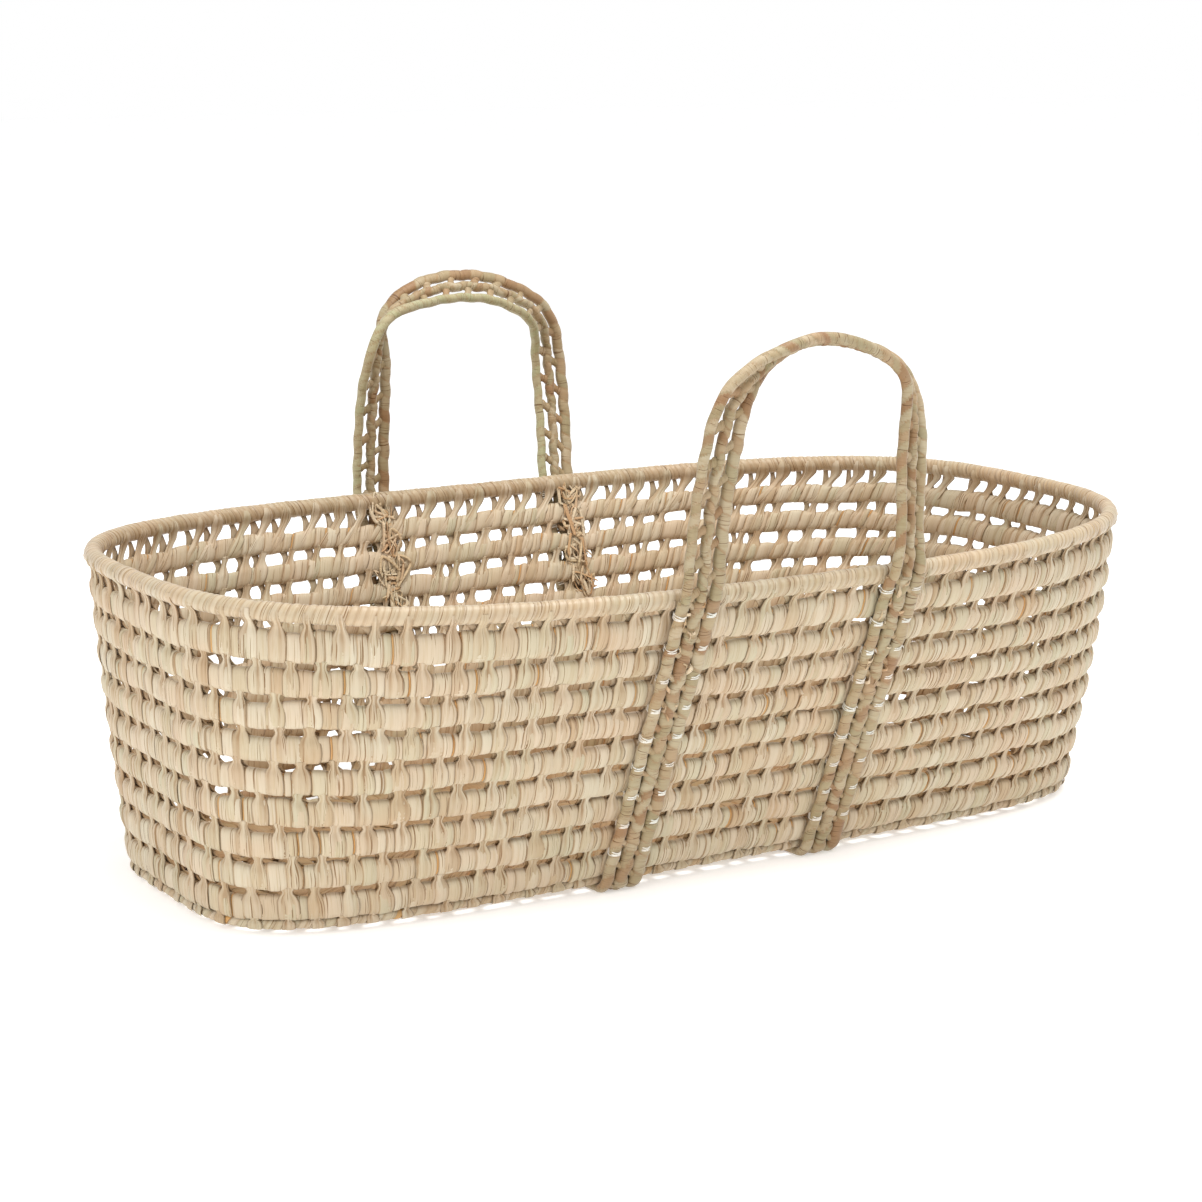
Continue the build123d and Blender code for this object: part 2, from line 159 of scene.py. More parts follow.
class Surface:
    """Sheet that the rows lie on. Share runs round it, height across the rows."""

    def __init__(self, outline, lowest, highest, levels=50, count=1800):
        self.lowest, self.highest = lowest, highest
        self.levels, self.count = levels, count
        self.heights = np.linspace(lowest, highest, levels)
        made = [outline(height, count) for height in self.heights]
        self.points = np.array([points for points, _ in made])
        self.lengths = np.array([length for _, length in made])
        around = np.roll(self.points, -1, axis=1) - np.roll(self.points, 1, axis=1)
        upward = np.gradient(self.points, axis=0)
        self.normals = unit(np.cross(around, upward))

    def length(self, height):
        return np.interp(height, self.heights, self.lengths)

    def place(self, share, height, out):
        """Points at a share round, a height, and a distance out of the surface."""
        share, height, out = np.broadcast_arrays(share, height, out)
        column = (share % 1) * self.count
        left = np.floor(column).astype(int)
        across = (column - left)[..., None]
        left = left % self.count
        right = (left + 1) % self.count
        row = (height - self.lowest) / (self.highest - self.lowest) * (self.levels - 1)
        row = np.clip(row, 0, self.levels - 1.001)
        lower = np.floor(row).astype(int)
        up = (row - lower)[..., None]
        result = []
        for table in (self.points, self.normals):
            low = mix(table[lower, left], table[lower, right], across)
            high = mix(table[lower + 1, left], table[lower + 1, right], across)
            result.append(mix(low, high, up))
        return result[0] + result[1] * out[..., None]


class Piece:
    """Collects closed grids of points and turns them into one mesh."""

    def __init__(self, name):
        self.name = name
        self.points, self.quads, self.uvs, self.looks = [], [], [], []
        self.total = 0

    def add(self, points, looks, along, around, closed=False):
        """Adds tubes. points and looks are (tubes, stations, sides, 3)."""
        tubes, stations, sides, _ = points.shape
        rows, columns = np.meshgrid(
            np.arange(stations if closed else stations - 1), np.arange(sides), indexing="ij")
        row_corners = np.stack([rows, rows + 1, rows + 1, rows], -1).reshape(-1, 4)
        column_corners = np.stack([columns, columns, columns + 1, columns + 1], -1).reshape(-1, 4)
        corners = (row_corners % stations) * sides + column_corners % sides
        first = points[0].reshape(-1, 3)
        centre = first.mean(axis=0)
        a, b, c = (first[corners[:, k]] - centre for k in (0, 1, 2))
        if np.sum(np.einsum("ij,ij->i", a, np.cross(b, c))) < 0:
            corners = corners[:, ::-1]
            row_corners = row_corners[:, ::-1]
            column_corners = column_corners[:, ::-1]
        offsets = self.total + np.arange(tubes) * stations * sides
        self.quads.append((corners[None] + offsets[:, None, None]).reshape(-1, 4))
        uv = np.stack([along[:, row_corners], around[:, column_corners]], axis=-1)
        self.uvs.append(uv.reshape(-1, 4, 2))
        self.points.append(points.reshape(-1, 3))
        self.looks.append(np.broadcast_to(looks, points.shape).reshape(-1, 3))
        self.total += tubes * stations * sides

    def add_strips(self, points, looks, travelled, sideways):
        """Adds strips whose fibre runs along the stations instead of round them."""
        self.add(points, looks, travelled, sideways)
        self.uvs[-1] = self.uvs[-1][..., ::-1]

    def press_on_floor(self):
        """Flattens whatever would reach below the floor."""
        for points in self.points:
            points[:, 2] = np.maximum(points[:, 2], FLOOR_CLEARANCE)

    def build(self, material, replaced):
        """Makes the Blender object that stands for the replaced CAD nodes."""
        points = np.concatenate(self.points) * MM
        quads = np.concatenate(self.quads)
        uvs = np.concatenate(self.uvs)
        looks = np.concatenate(self.looks)
        mesh = bpy.data.meshes.new(self.name)
        mesh.vertices.add(len(points))
        mesh.vertices.foreach_set("co", points.astype(np.float32).ravel())
        mesh.loops.add(4 * len(quads))
        mesh.loops.foreach_set("vertex_index", quads.astype(np.int32).ravel())
        mesh.polygons.add(len(quads))
        mesh.polygons.foreach_set("loop_start", np.arange(0, 4 * len(quads), 4, dtype=np.int32))
        mesh.update(calc_edges=True)
        mesh.polygons.foreach_set("use_smooth", np.ones(len(quads), dtype=bool))
        layer = mesh.uv_layers.new(name="leaf")
        layer.data.foreach_set("uv", uvs.astype(np.float32).ravel())
        attribute = mesh.attributes.new("look", "FLOAT_COLOR", "POINT")
        opaque = np.ones((len(points), 1))
        attribute.data.foreach_set("color", np.hstack([looks, opaque]).astype(np.float32).ravel())
        mesh.materials.append(material)
        obj = bpy.data.objects.new(self.name, mesh)
        bpy.context.scene.collection.objects.link(obj)
        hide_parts(*replaced)
        return obj

    def build_on_basket(self, material, slot, *replaced):
        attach(self.build(material, replaced), "basket")


# --- Materials ---
LEAF_TONES = (
    (0.00, (0.585, 0.495, 0.37)),
    (0.18, (0.54, 0.435, 0.31)),
    (0.36, (0.61, 0.53, 0.41)),
    (0.54, (0.57, 0.47, 0.35)),
    (0.70, (0.525, 0.465, 0.335)),
    (0.82, (0.575, 0.49, 0.355)),
    (0.93, (0.50, 0.38, 0.25)),
    (0.985, (0.62, 0.35, 0.13)),
)
RIM_TONES = (
    (0.00, (0.52, 0.42, 0.29)),
    (0.30, (0.56, 0.46, 0.33)),
    (0.60, (0.50, 0.405, 0.28)),
    (0.85, (0.54, 0.45, 0.33)),
)
CORD_TONES = (
    (0.00, (0.37, 0.30, 0.185)),
    (0.30, (0.46, 0.38, 0.26)),
    (0.55, (0.33, 0.27, 0.155)),
    (0.75, (0.41, 0.305, 0.185)),
    (0.93, (0.30, 0.18, 0.09)),
)
OLIVE_TONES = (
    (0.00, (0.37, 0.35, 0.20)),
    (0.40, (0.44, 0.40, 0.25)),
    (0.80, (0.41, 0.35, 0.215)),
)
COTTON_TONES = ((0.00, (0.80, 0.78, 0.73)), (1.00, (0.88, 0.87, 0.84)))
RAFFIA_TONES = (
    (0.00, (0.56, 0.42, 0.26)),
    (0.50, (0.68, 0.57, 0.42)),
    (1.00, (0.50, 0.30, 0.15)),
)
# Painted shade where grooves, creases and the lines between strips lie in shade; partly the leaves' own
# darker edges.
GROOVE_SHADE_AND_EDGE_COLOUR = (0.32, 0.185, 0.08, 1)
# Painted shade on the inside of the basket, multiplied in more strongly lower down.
INSIDE_SHADE_TINT = (0.60, 0.43, 0.26, 1)
FINE_TINT = ((0.32, (0.84, 0.77, 0.66)), (0.47, (1, 1, 1)), (0.72, (1.05, 1.05, 1.04)))
BROAD_TINT = ((0.34, (0.86, 0.78, 0.66)), (0.47, (1, 1, 1)))
CRACK_TINT = ((0.345, (0.38, 0.25, 0.13)), (0.37, (1, 1, 1)))
BLOTCH_TINT = ((0.35, (1.0, 0.93, 0.86)), (0.65, (0.97, 1.0, 0.96)))
BLOTCH_SCALE = 26.0  # blotches per metre
RELIEF_DEPTH = 0.0012  # metres


def set_inputs(node, values):
    """Sets those inputs of a node that nothing is linked to."""
    for name, value in values.items():
        node.inputs[name].default_value = value


def fibre_material(name, tones, roughness=0.6, grain=1.0, bump=1.0, sheen=0.1):
    """Dry leaf or thread. Its grain runs along the strip, and each strip has its tone.

    The look attribute's red picks the tone, its green paints shade into grooves and creases,
    partly the leaves' darker edges, and its blue paints shade on the inside of the basket.
    """
    material = bpy.data.materials.new(name)
    material.use_nodes = True
    nodes, links = material.node_tree.nodes, material.node_tree.links
    nodes.clear()
    output = nodes.new("ShaderNodeOutputMaterial")
    shader = nodes.new("ShaderNodeBsdfPrincipled")
    links.new(shader.outputs["BSDF"], output.inputs["Surface"])

    look = nodes.new("ShaderNodeAttribute")
    look.attribute_name = "look"
    channels = nodes.new("ShaderNodeSeparateColor")
    links.new(look.outputs["Color"], channels.inputs["Color"])
    uv = nodes.new("ShaderNodeUVMap")
    uv.uv_map = "leaf"
    place = nodes.new("ShaderNodeSeparateXYZ")
    links.new(uv.outputs["UV"], place.inputs["Vector"])

    def maths(operation, first, second):
        node = nodes.new("ShaderNodeMath")
        node.operation = operation
        for socket, value in zip(node.inputs, (first, second)):
            if isinstance(value, (int, float)):
                socket.default_value = value
            else:
                links.new(value, socket)
        return node.outputs[0]

    def streaks(across, along, seed, detail):
        """Noise that is fine across the fibre and long along it."""
        vector = nodes.new("ShaderNodeCombineXYZ")
        links.new(maths("MULTIPLY", place.outputs["X"], across), vector.inputs["X"])
        links.new(maths("MULTIPLY", place.outputs["Y"], along), vector.inputs["Y"])
        links.new(maths("MULTIPLY", channels.outputs["Red"], seed), vector.inputs["Z"])
        noise = nodes.new("ShaderNodeTexNoise")
        set_inputs(noise, {"Scale": 1.0, "Detail": detail})
        links.new(vector.outputs["Vector"], noise.inputs["Vector"])
        return noise.outputs["Fac"]

    def ramp(value, stops):
        node = nodes.new("ShaderNodeValToRGB")
        elements = node.color_ramp.elements
        while len(elements) < len(stops):
            elements.new(0.5)
        for element, (position, colour) in zip(elements, stops):
            element.position = position
            element.color = (*colour, 1)
        links.new(value, node.inputs["Fac"])
        return node.outputs["Color"]

    def blend_colour(kind, factor, first, second):
        node = nodes.new("ShaderNodeMix")
        node.data_type = "RGBA"
        node.blend_type = kind
        for socket, value in zip((node.inputs[0], node.inputs[6], node.inputs[7]),
                                 (factor, first, second)):
            if isinstance(value, (int, float, tuple)):
                socket.default_value = value
            else:
                links.new(value, socket)
        return node.outputs[2]

    fine = streaks(1.5 * grain, 0.045, 37.0, 3.0)
    broad = streaks(0.42 * grain, 0.03, 91.0, 2.0)
    crack = streaks(0.95 * grain, 0.022, 53.0, 2.0)
    blotch = nodes.new("ShaderNodeTexNoise")
    set_inputs(blotch, {"Scale": BLOTCH_SCALE, "Detail": 2.0})
    where = nodes.new("ShaderNodeTexCoord")
    links.new(where.outputs["Object"], blotch.inputs["Vector"])

    colour = ramp(channels.outputs["Red"], tones)
    tints = ((fine, FINE_TINT, 0.55), (broad, BROAD_TINT, 0.45), (crack, CRACK_TINT, 0.9),
             (blotch.outputs["Fac"], BLOTCH_TINT, 0.8))
    for noise, stops, strength in tints:
        colour = blend_colour("MULTIPLY", strength, colour, ramp(noise, stops))
    # Painted shade on the inside of the basket.
    inside = maths("MULTIPLY", channels.outputs["Blue"], 0.9)
    colour = blend_colour("MULTIPLY", inside, colour, INSIDE_SHADE_TINT)
    # Painted shade in grooves and creases, partly the leaves' darker edges.
    groove_shade = maths("MULTIPLY", channels.outputs["Green"], 0.9)
    colour = blend_colour("MIX", groove_shade, colour, GROOVE_SHADE_AND_EDGE_COLOUR)
    links.new(colour, shader.inputs["Base Color"])

    rough = maths("MULTIPLY_ADD", broad, 0.25)
    rough.node.inputs[2].default_value = roughness - 0.12
    links.new(rough, shader.inputs["Roughness"])
    set_inputs(shader, {"Specular IOR Level": 0.35, "Sheen Weight": sheen, "Sheen Roughness": 0.4})

    height = maths("ADD", maths("MULTIPLY", fine, 0.35), maths("MULTIPLY", broad, 0.5))
    relief = nodes.new("ShaderNodeBump")
    set_inputs(relief, {"Strength": 0.5 * bump, "Distance": RELIEF_DEPTH})
    links.new(height, relief.inputs["Height"])
    links.new(relief.outputs["Normal"], shader.inputs["Normal"])
    return material


leaf = fibre_material("palm_leaf", LEAF_TONES)
rim_leaf = fibre_material("rim_leaf", RIM_TONES, roughness=0.38, bump=0.6, sheen=0.25)
cord_leaf = fibre_material("cord_leaf", CORD_TONES, roughness=0.5, bump=0.8, sheen=0.2)
olive_leaf = fibre_material("olive_leaf", OLIVE_TONES, roughness=0.5, bump=0.8, sheen=0.2)
cotton = fibre_material("cotton", COTTON_TONES, roughness=0.8, grain=3.0, sheen=0.5)
raffia = fibre_material("raffia", RAFFIA_TONES, roughness=0.7, grain=2.0)


# --- Rows of wrapped coil ---
RING_SAMPLES = 4096
ROW_SIDES = 18
ROW_POWER = 2.6  # squareness of a row's cross-section
COLUMN_PLACES = np.array([0.03, 0.13, 0.50, 0.87, 0.97])  # across one strip
FAN_COVER = 5.0  # half width that a stitch's fan always hides, mm
CORE_SLIT = 1.3  # width of a slit between strips that shows the bundle inside
CORE_SHOWS = 0.3  # share of the spaces between stitches that have such a slit
OUTSIDE_LEAN = 1.0  # how far a strip travels round the coil while it climbs the outside
INSIDE_LEAN = 8.0
RIM_INSIDE_LEAN = 14.0  # the stitches under the rim slant more
BULGE = 1.9  # a strip's middle bows this far round, to +X on the front wall
BULGE_FADE = 0.35  # share of that bow left at the -X end
ROW_PUFF = 0.14  # a wall row is fuller by this share at the +X end
ROW_WANDER = 0.8  # the row's middle wanders up and down by about this
TOP_SPARE = 0.4  # what a row's edges stand past its band
BOTTOM_SPARE = 0.2
TOP_VARIATION = (-2.0, 1.7)  # how the top edge differs from one stitch to the next
STITCH_HOLD = 6.0  # near a stitch that difference fades out
STITCH_BITE = 0.9  # a stitch pulls the edge in by this much
STITCH_REACH = 4.0
EDGE_RIPPLE = 0.25
OPEN_BACK = 2.0  # on the back wall the rows' upper edges lie this much lower
OPEN_FRONT = 0.9  # on the front wall up to this much, towards the +X end
BOTTOM_SHARE = 0.6  # the lower edges rise by this share of it
SPLIT_ROOM = 9.0  # a space between fans wider than this can hold two strips
SPLIT_CHANCE = 0.5
ORDINARY_TONES = 0.93  # strips and stitches take tones below this, the core above it


def toward_end(share):
    """0 at the basket's -X end, where the work is flat and even, to 1 at its +X end."""
    return 0.5 + 0.5 * np.cos(2 * np.pi * share)


def on_back(share, steepness=2.5):
    """1 on the back wall and 0 on the front, with a soft change at the two ends.

    A negative steepness turns it round: 1 on the front wall and 0 on the back.
    """
    return np.clip(steepness * np.sin(2 * np.pi * share), 0, 1)


def bow(share, level):
    """How far a strip is bowed round the coil, at a level from -1 to 1 up its row's face."""
    fade = mix(BULGE_FADE, 1.0, toward_end(share))
    return BULGE * fade * (1 - np.clip(np.abs(level), 0, 1) ** 2)


def stitch_shares(count, rng, jitter=0.2):
    """Places of the stitches round a gap."""
    places = np.arange(count) + rng.random() * 0.9 + rng.uniform(-jitter, jitter, count)
    return np.sort(places / count % 1)


def nearest(share, places):
    """Distance from each share to the nearest of the places, round the ring."""
    wrapped = np.concatenate([places[-1:] - 1, places, places[:1] + 1])
    index = np.searchsorted(wrapped, share)
    index = np.clip(index, 1, len(wrapped) - 1)
    return np.minimum(share - wrapped[index - 1], wrapped[index] - share)


class Row:
    """One wrapped row: where its edges and faces are at each share round the ring."""

    def __init__(self, surface, middle, band, thickness, above, below, rng, puff=0.0, shade=1.0,
                 open_back=0.0):
        self.surface = surface
        self.shade = shade
        self.grid = np.arange(RING_SAMPLES) / RING_SAMPLES
        self.length = surface.length(middle)
        self.middle = middle + ROW_WANDER * ripple(self.grid, (9, 14, 23, 37), rng)
        self.top = np.full(RING_SAMPLES, band / 2 + TOP_SPARE)
        self.bottom = np.full(RING_SAMPLES, band / 2 + BOTTOM_SPARE)
        if above is not None:
            near = nearest(self.grid, above) * self.length
            index = np.searchsorted(above, self.grid) % len(above)
            varied = rng.uniform(*TOP_VARIATION, len(above))[index]
            self.top += varied * np.clip(near / STITCH_HOLD, 0, 1)
            self.top -= STITCH_BITE * np.exp(-(near / STITCH_REACH) ** 2)
        if below is not None:
            near = nearest(self.grid, below) * self.length
            self.bottom -= STITCH_BITE * np.exp(-(near / STITCH_REACH) ** 2)
        opened = on_back(self.grid) * open_back
        opened += OPEN_FRONT * on_back(self.grid, -2.5) * toward_end(self.grid)
        self.top -= opened
        self.bottom -= BOTTOM_SHARE * opened
        self.top += EDGE_RIPPLE * ripple(self.grid, (61, 83, 107), rng)
        self.bottom += EDGE_RIPPLE * ripple(self.grid, (67, 89, 101), rng)
        fullness = puff * toward_end(self.grid) ** 2
        swell = 0.05 * ripple(self.grid, (31, 47, 71), rng)
        self.thick = thickness / 2 * (1.03 + fullness + swell)

    def value(self, table, share):
        """A table's value at a share round the ring."""
        return np.interp(share % 1, self.grid, table, period=1)

    def edges(self, share):
        """Heights of the row's lower and upper edge."""
        middle = self.value(self.middle, share)
        return middle - self.value(self.bottom, share), middle + self.value(self.top, share)

    def face(self, share, height):
        """Distance of the row's face from the surface at a height."""
        middle = self.value(self.middle, share)
        rise = height - middle
        half = np.where(rise > 0, self.value(self.top, share), self.value(self.bottom, share))
        level = np.clip(np.abs(rise) / half, 0, 1)
        return self.value(self.thick, share) * (1 - level ** ROW_POWER) ** (1 / ROW_POWER)


def strip_edges(stitches, length, rng):
    """Shares of the edges between neighbouring leaf strips of a row."""
    cover = FAN_COVER / length
    following = np.append(stitches[1:], stitches[0] + 1)
    edges = []
    for here, there in zip(stitches, following):
        edges.extend([here - cover, here + cover])
        room = there - here - 2 * cover
        split = here + cover
        if room * length > SPLIT_ROOM and rng.random() < SPLIT_CHANCE:
            split = here + cover + room * rng.uniform(0.35, 0.65)
            edges.append(split)
        if rng.random() < CORE_SHOWS:
            edges.append(split + CORE_SLIT / length)
    return np.array(edges)


def strip_lean(turn, outside, inside):
    """How far round the coil a strip has travelled at a turn of the cross-section."""
    rise = np.sin(turn)
    on_outside = outside * rise / 2
    on_inside = outside / 2 + inside * (1 - rise) / 2
    return np.where(turn <= np.pi / 2, on_outside, on_inside)


def add_row(piece, row, stitches, rng):
    """The row's own wrapping, as one closed ring of strips."""
    edges = strip_edges(stitches, row.length, rng)
    widths = np.diff(np.append(edges, edges[0] + 1))
    count = len(edges)
    core = widths * row.length < CORE_SLIT * 1.01
    raised = np.where(core, -0.9, rng.uniform(-0.45, 0.6, count))
    tilt = np.where(core, 0.0, rng.uniform(-0.5, 0.5, count))
    tone = np.where(core, rng.uniform(0.975, 1.0, count), rng.uniform(0, ORDINARY_TONES, count))
    share = edges[:, None] + COLUMN_PLACES * widths[:, None]
    across = 2 * COLUMN_PLACES[None, :] - 1
    plump = mix(0.25, 1.1, toward_end(edges))[:, None]
    crown = plump * (1 - np.abs(across) ** 2.5) - 0.80 * np.abs(across) ** 12
    relief = crown + raised[:, None] + tilt[:, None] * across
    # Painted shade along the strips' edges, partly the leaves' darker edges.
    strip_edge_shade = rng.uniform(0.45, 0.95, count) * np.where(core, 0.3, 1.0)
    groove_shade = np.where(np.abs(across) > 0.85, 1.0, 0.0) * strip_edge_shade[:, None]
    share, relief, groove_shade = share.ravel(), relief.ravel(), groove_shade.ravel()
    tone = np.repeat(tone, len(COLUMN_PLACES))

    turn = np.linspace(-np.pi / 2, 3 * np.pi / 2, ROW_SIDES, endpoint=False) + np.pi / ROW_SIDES
    cosine, sine = np.cos(turn), np.sin(turn)
    lean = strip_lean(turn, OUTSIDE_LEAN, INSIDE_LEAN)[None, :]
    bowed = bow(share[:, None], sine[None, :]) * np.clip(cosine, 0, 1)
    shares = share[:, None] + (lean + bowed) / row.length
    rounding = 2 / ROW_POWER
    out = np.sign(cosine) * np.abs(cosine) ** rounding
    rise = np.sign(sine) * np.abs(sine) ** rounding
    half = np.where(rise > 0, row.value(row.top, shares), row.value(row.bottom, shares))
    thick = row.value(row.thick, shares)
    heights = row.value(row.middle, shares) + rise * (half + 0.6 * relief[:, None])
    outs = out * (thick + relief[:, None])
    points = row.surface.place(shares, heights, outs)
    looks = np.zeros(points.shape)
    looks[..., 0] = tone[:, None]
    looks[..., 1] = groove_shade[:, None]
    # Painted shade on the row's inner face, stronger lower down the basket.
    looks[..., 2] = np.clip(0.5 - 0.9 * out, 0, 1)[None, :] * row.shade
    along = np.append(share, share[0] + 1)[None] * row.length
    around = np.linspace(0, 2 * (ROW_BAND + COIL_THICKNESS), ROW_SIDES + 1)[None]
    piece.add(points[None], looks[None], along, around, closed=True)


# --- Leaf stitches: a strip that fans out over its own row and is pinched in the gap ---
# Stations run up a stitch: FACE on its own row, GAP across the gap, OVER on the row above.
# LEVELS are shares of the row's or gap's height, the rest is in millimetres. LIFT is above
# the row's face, OUT is from the wall's middle, and CROWN is the stitch's own bulge.
FACE_LEVELS = np.array([-0.02, 0.07, 0.20, 0.38, 0.56, 0.72, 0.85, 0.94])
FACE_LIFT = np.array([0.05, 0.28, 0.38, 0.42, 0.45, 0.50, 0.62, 0.70])
FACE_HALF_WIDTH = np.array([5.6, 6.3, 6.8, 7.0, 7.0, 6.9, 6.6, 6.1])
FACE_CROWN = np.array([0.18, 0.20, 0.24, 0.28, 0.35, 0.46, 0.68, 1.00])
GAP_LEVELS = np.array([0.12, 0.37, 0.63, 0.88])
GAP_OUT = np.array([2.3, 1.9, 1.9, 2.5])
GAP_HALF_WIDTH = np.array([5.1, 3.6, 3.2, 3.9])
RIM_GAP_HALF_WIDTH = np.array([5.2, 4.2, 3.3, 3.0])
GAP_CROWN = np.array([1.05, 1.10, 1.10, 1.00])
OVER_HEIGHT = np.array([0.3, 0.9, 1.5, 2.1])
OVER_LIFT = np.array([0.7, 0.5, 0.1, -1.0])
OVER_HALF_WIDTH = np.array([4.6, 4.5, 3.8, 2.4])
OVER_CROWN = np.array([1.0, 0.8, 0.5, 0.2])
RIM_OVER_HEIGHT = np.array([0.8, 3.0, 6.0, 9.0])
RIM_OVER_LIFT = np.array([0.7, 0.6, 0.5, 0.2])
RIM_OVER_HALF_WIDTH = np.array([3.2, 3.3, 3.1, 2.6])
INNER_RIM_OVER_HALF_WIDTH = np.array([6.0, 5.6, 4.6, 3.4])
INNER_RIM_GAP_HALF_WIDTH = np.array([4.4, 4.3, 4.9, 5.8])
PLAIN_OVER = (OVER_HEIGHT, OVER_LIFT, OVER_HALF_WIDTH, GAP_HALF_WIDTH)
RIM_OVER = (RIM_OVER_HEIGHT, RIM_OVER_LIFT, RIM_OVER_HALF_WIDTH, RIM_GAP_HALF_WIDTH)
INNER_RIM_OVER = (
    RIM_OVER_HEIGHT, RIM_OVER_LIFT, INNER_RIM_OVER_HALF_WIDTH, INNER_RIM_GAP_HALF_WIDTH)
FRONT_PLACES = np.linspace(-1, 1, 11)
BACK_PLACES = np.array([0.85, 0.0, -0.85])
CREASES = 4
CREASE_HALF_WIDTH = 0.16  # as a share of the stitch's half width
LOOSE_PINCH = 1.05  # factor on the outside pinches' width at the -X end
TIGHT_PINCH = 0.66  # and at the +X end


def add_fans(piece, surface, lower, upper, stitches, side, rng, over=PLAIN_OVER,
             leans=(OUTSIDE_LEAN, INSIDE_LEAN), scale=1.0):
    """Stitches of one gap on one side. side is 1 outside and -1 inside."""
    over_height, over_lift, over_half, gap_half = over
    outside_lean, inside_lean = leans
    count = len(stitches)
    here = stitches[:, None]
    bottom, top = lower.edges(here)
    above, _ = upper.edges(here)
    face_heights = bottom + FACE_LEVELS * (top - bottom)
    gap_heights = top + GAP_LEVELS * (above - top)
    over_heights = above + over_height
    heights = np.concatenate([face_heights, gap_heights, over_heights], axis=1)
    face_out = np.maximum(lower.face(here, face_heights), 1.2) + FACE_LIFT
    gap_out = np.broadcast_to(GAP_OUT, gap_heights.shape)
    over_out = upper.face(here, over_heights) + over_lift
    outs = np.concatenate([face_out, gap_out, over_out], axis=1)
    half = np.concatenate([FACE_HALF_WIDTH, gap_half, over_half])
    crown = np.concatenate([FACE_CROWN, GAP_CROWN, OVER_CROWN])
    back = 0.45 + 0.8 * (crown - crown.min())
    stations = len(half)

    spread = rng.uniform(0.82, 1.18, (count, 1)) * scale
    shape = np.linspace(0, 1, stations)
    sway = rng.normal(0, 0.4, (count, 1)) * np.sin(np.pi * shape) + rng.normal(0, 0.5, (count, 1))
    length = surface.length(heights)
    middle = (bottom + top) / 2
    rise = np.clip((heights - middle) / (top - bottom) * 2, -1.1, 2.3)
    if side > 0:
        lean = outside_lean * rise / 2 + bow(here, rise)
    else:
        lean = outside_lean / 2 + inside_lean * (1 - rise) / 2
    centre = here + (lean + sway) / length

    # Creases start at the pinch, where the leaf is gathered, and fade down the fan.
    gathered = np.clip(0.35 + crown / crown.max(), 0, 1)
    front = np.zeros((count, stations, len(FRONT_PLACES)))
    crease_shade = np.zeros((count, stations, len(FRONT_PLACES)))
    for _ in range(CREASES):
        spot = rng.uniform(-0.75, 0.75, (count, 1, 1))
        depth = rng.uniform(0.2, 0.75, (count, 1, 1))
        dip = depth * np.exp(-((FRONT_PLACES - spot) / CREASE_HALF_WIDTH) ** 2) * gathered[None, :, None]
        front -= dip
        crease_shade += 0.85 * dip
    front += crown[None, :, None] * (1 - FRONT_PLACES ** 2)
    front -= 0.35 * np.abs(FRONT_PLACES) ** 6
    behind = np.broadcast_to(-back[None, :, None], (count, stations, len(BACK_PLACES)))
    across = np.concatenate([FRONT_PLACES, BACK_PLACES])
    lift = np.concatenate([front, behind], axis=2)

    pinch = np.ones((count, stations))
    if side > 0:
        pinch[:, len(FACE_LEVELS) - 2:] = mix(LOOSE_PINCH, TIGHT_PINCH, toward_end(here))
    half = half * spread * pinch
    shares = centre[..., None] + across * half[..., None] / length[..., None]
    out = (outs[..., None] + lift) * side
    points = surface.place(shares, np.broadcast_to(heights[..., None], shares.shape), out)

    looks = np.zeros(points.shape)
    looks[..., 0] = rng.uniform(0, ORDINARY_TONES, (count, 1, 1))
    # Painted shade in the creases and along the fans' edges.
    fan_edge_shade = rng.uniform(0.35, 1.0, (count, 1, 1)) * np.abs(FRONT_PLACES) ** 10
    looks[..., :len(FRONT_PLACES), 1] = np.clip(crease_shade + fan_edge_shade, 0, 0.9)
    # Painted shade on the backs of the stitches, under their faces.
    looks[..., len(FRONT_PLACES):, 1] = 0.4
    # Painted shade on the inside stitches, stronger lower down the basket.
    looks[..., 2] = 0.0 if side > 0 else lower.shade
    travelled = np.cumsum(np.abs(np.diff(heights, axis=1, prepend=heights[:, :1])), axis=1)
    around = np.append(across, across[0])[None, :] * 6.0 + rng.uniform(0, 400, (count, 1))
    piece.add_strips(points, looks, travelled, around)


wall = Surface(wall_outline, -WALL_BELOW, WALL_HEIGHT + WALL_ABOVE)
base = Surface(base_outline, BASE_INNERMOST, BASE_ROWS * BASE_PITCH + BASE_BAND)


def stitch_count(length):
    return round(length / STITCH_PITCH)


class RimRow(Row):
    """The round rim, or the round coil at the base's edge, as the row of a gap."""

    def __init__(self, surface, middle, radius, rng):
        super().__init__(surface, middle, 2 * radius, 2 * radius, None, None, rng)
        self.middle[:] = middle
        self.top[:] = radius
        self.bottom[:] = radius
        self.thick[:] = radius

    def face(self, share, height):
        level = np.clip(np.abs(height - self.middle[0]) / self.top[0], 0, 1)
        return self.thick[0] * np.sqrt(1 - level ** 2)


WRAP_PLACES = np.array([0.03, 0.25, 0.50, 0.75, 0.97])


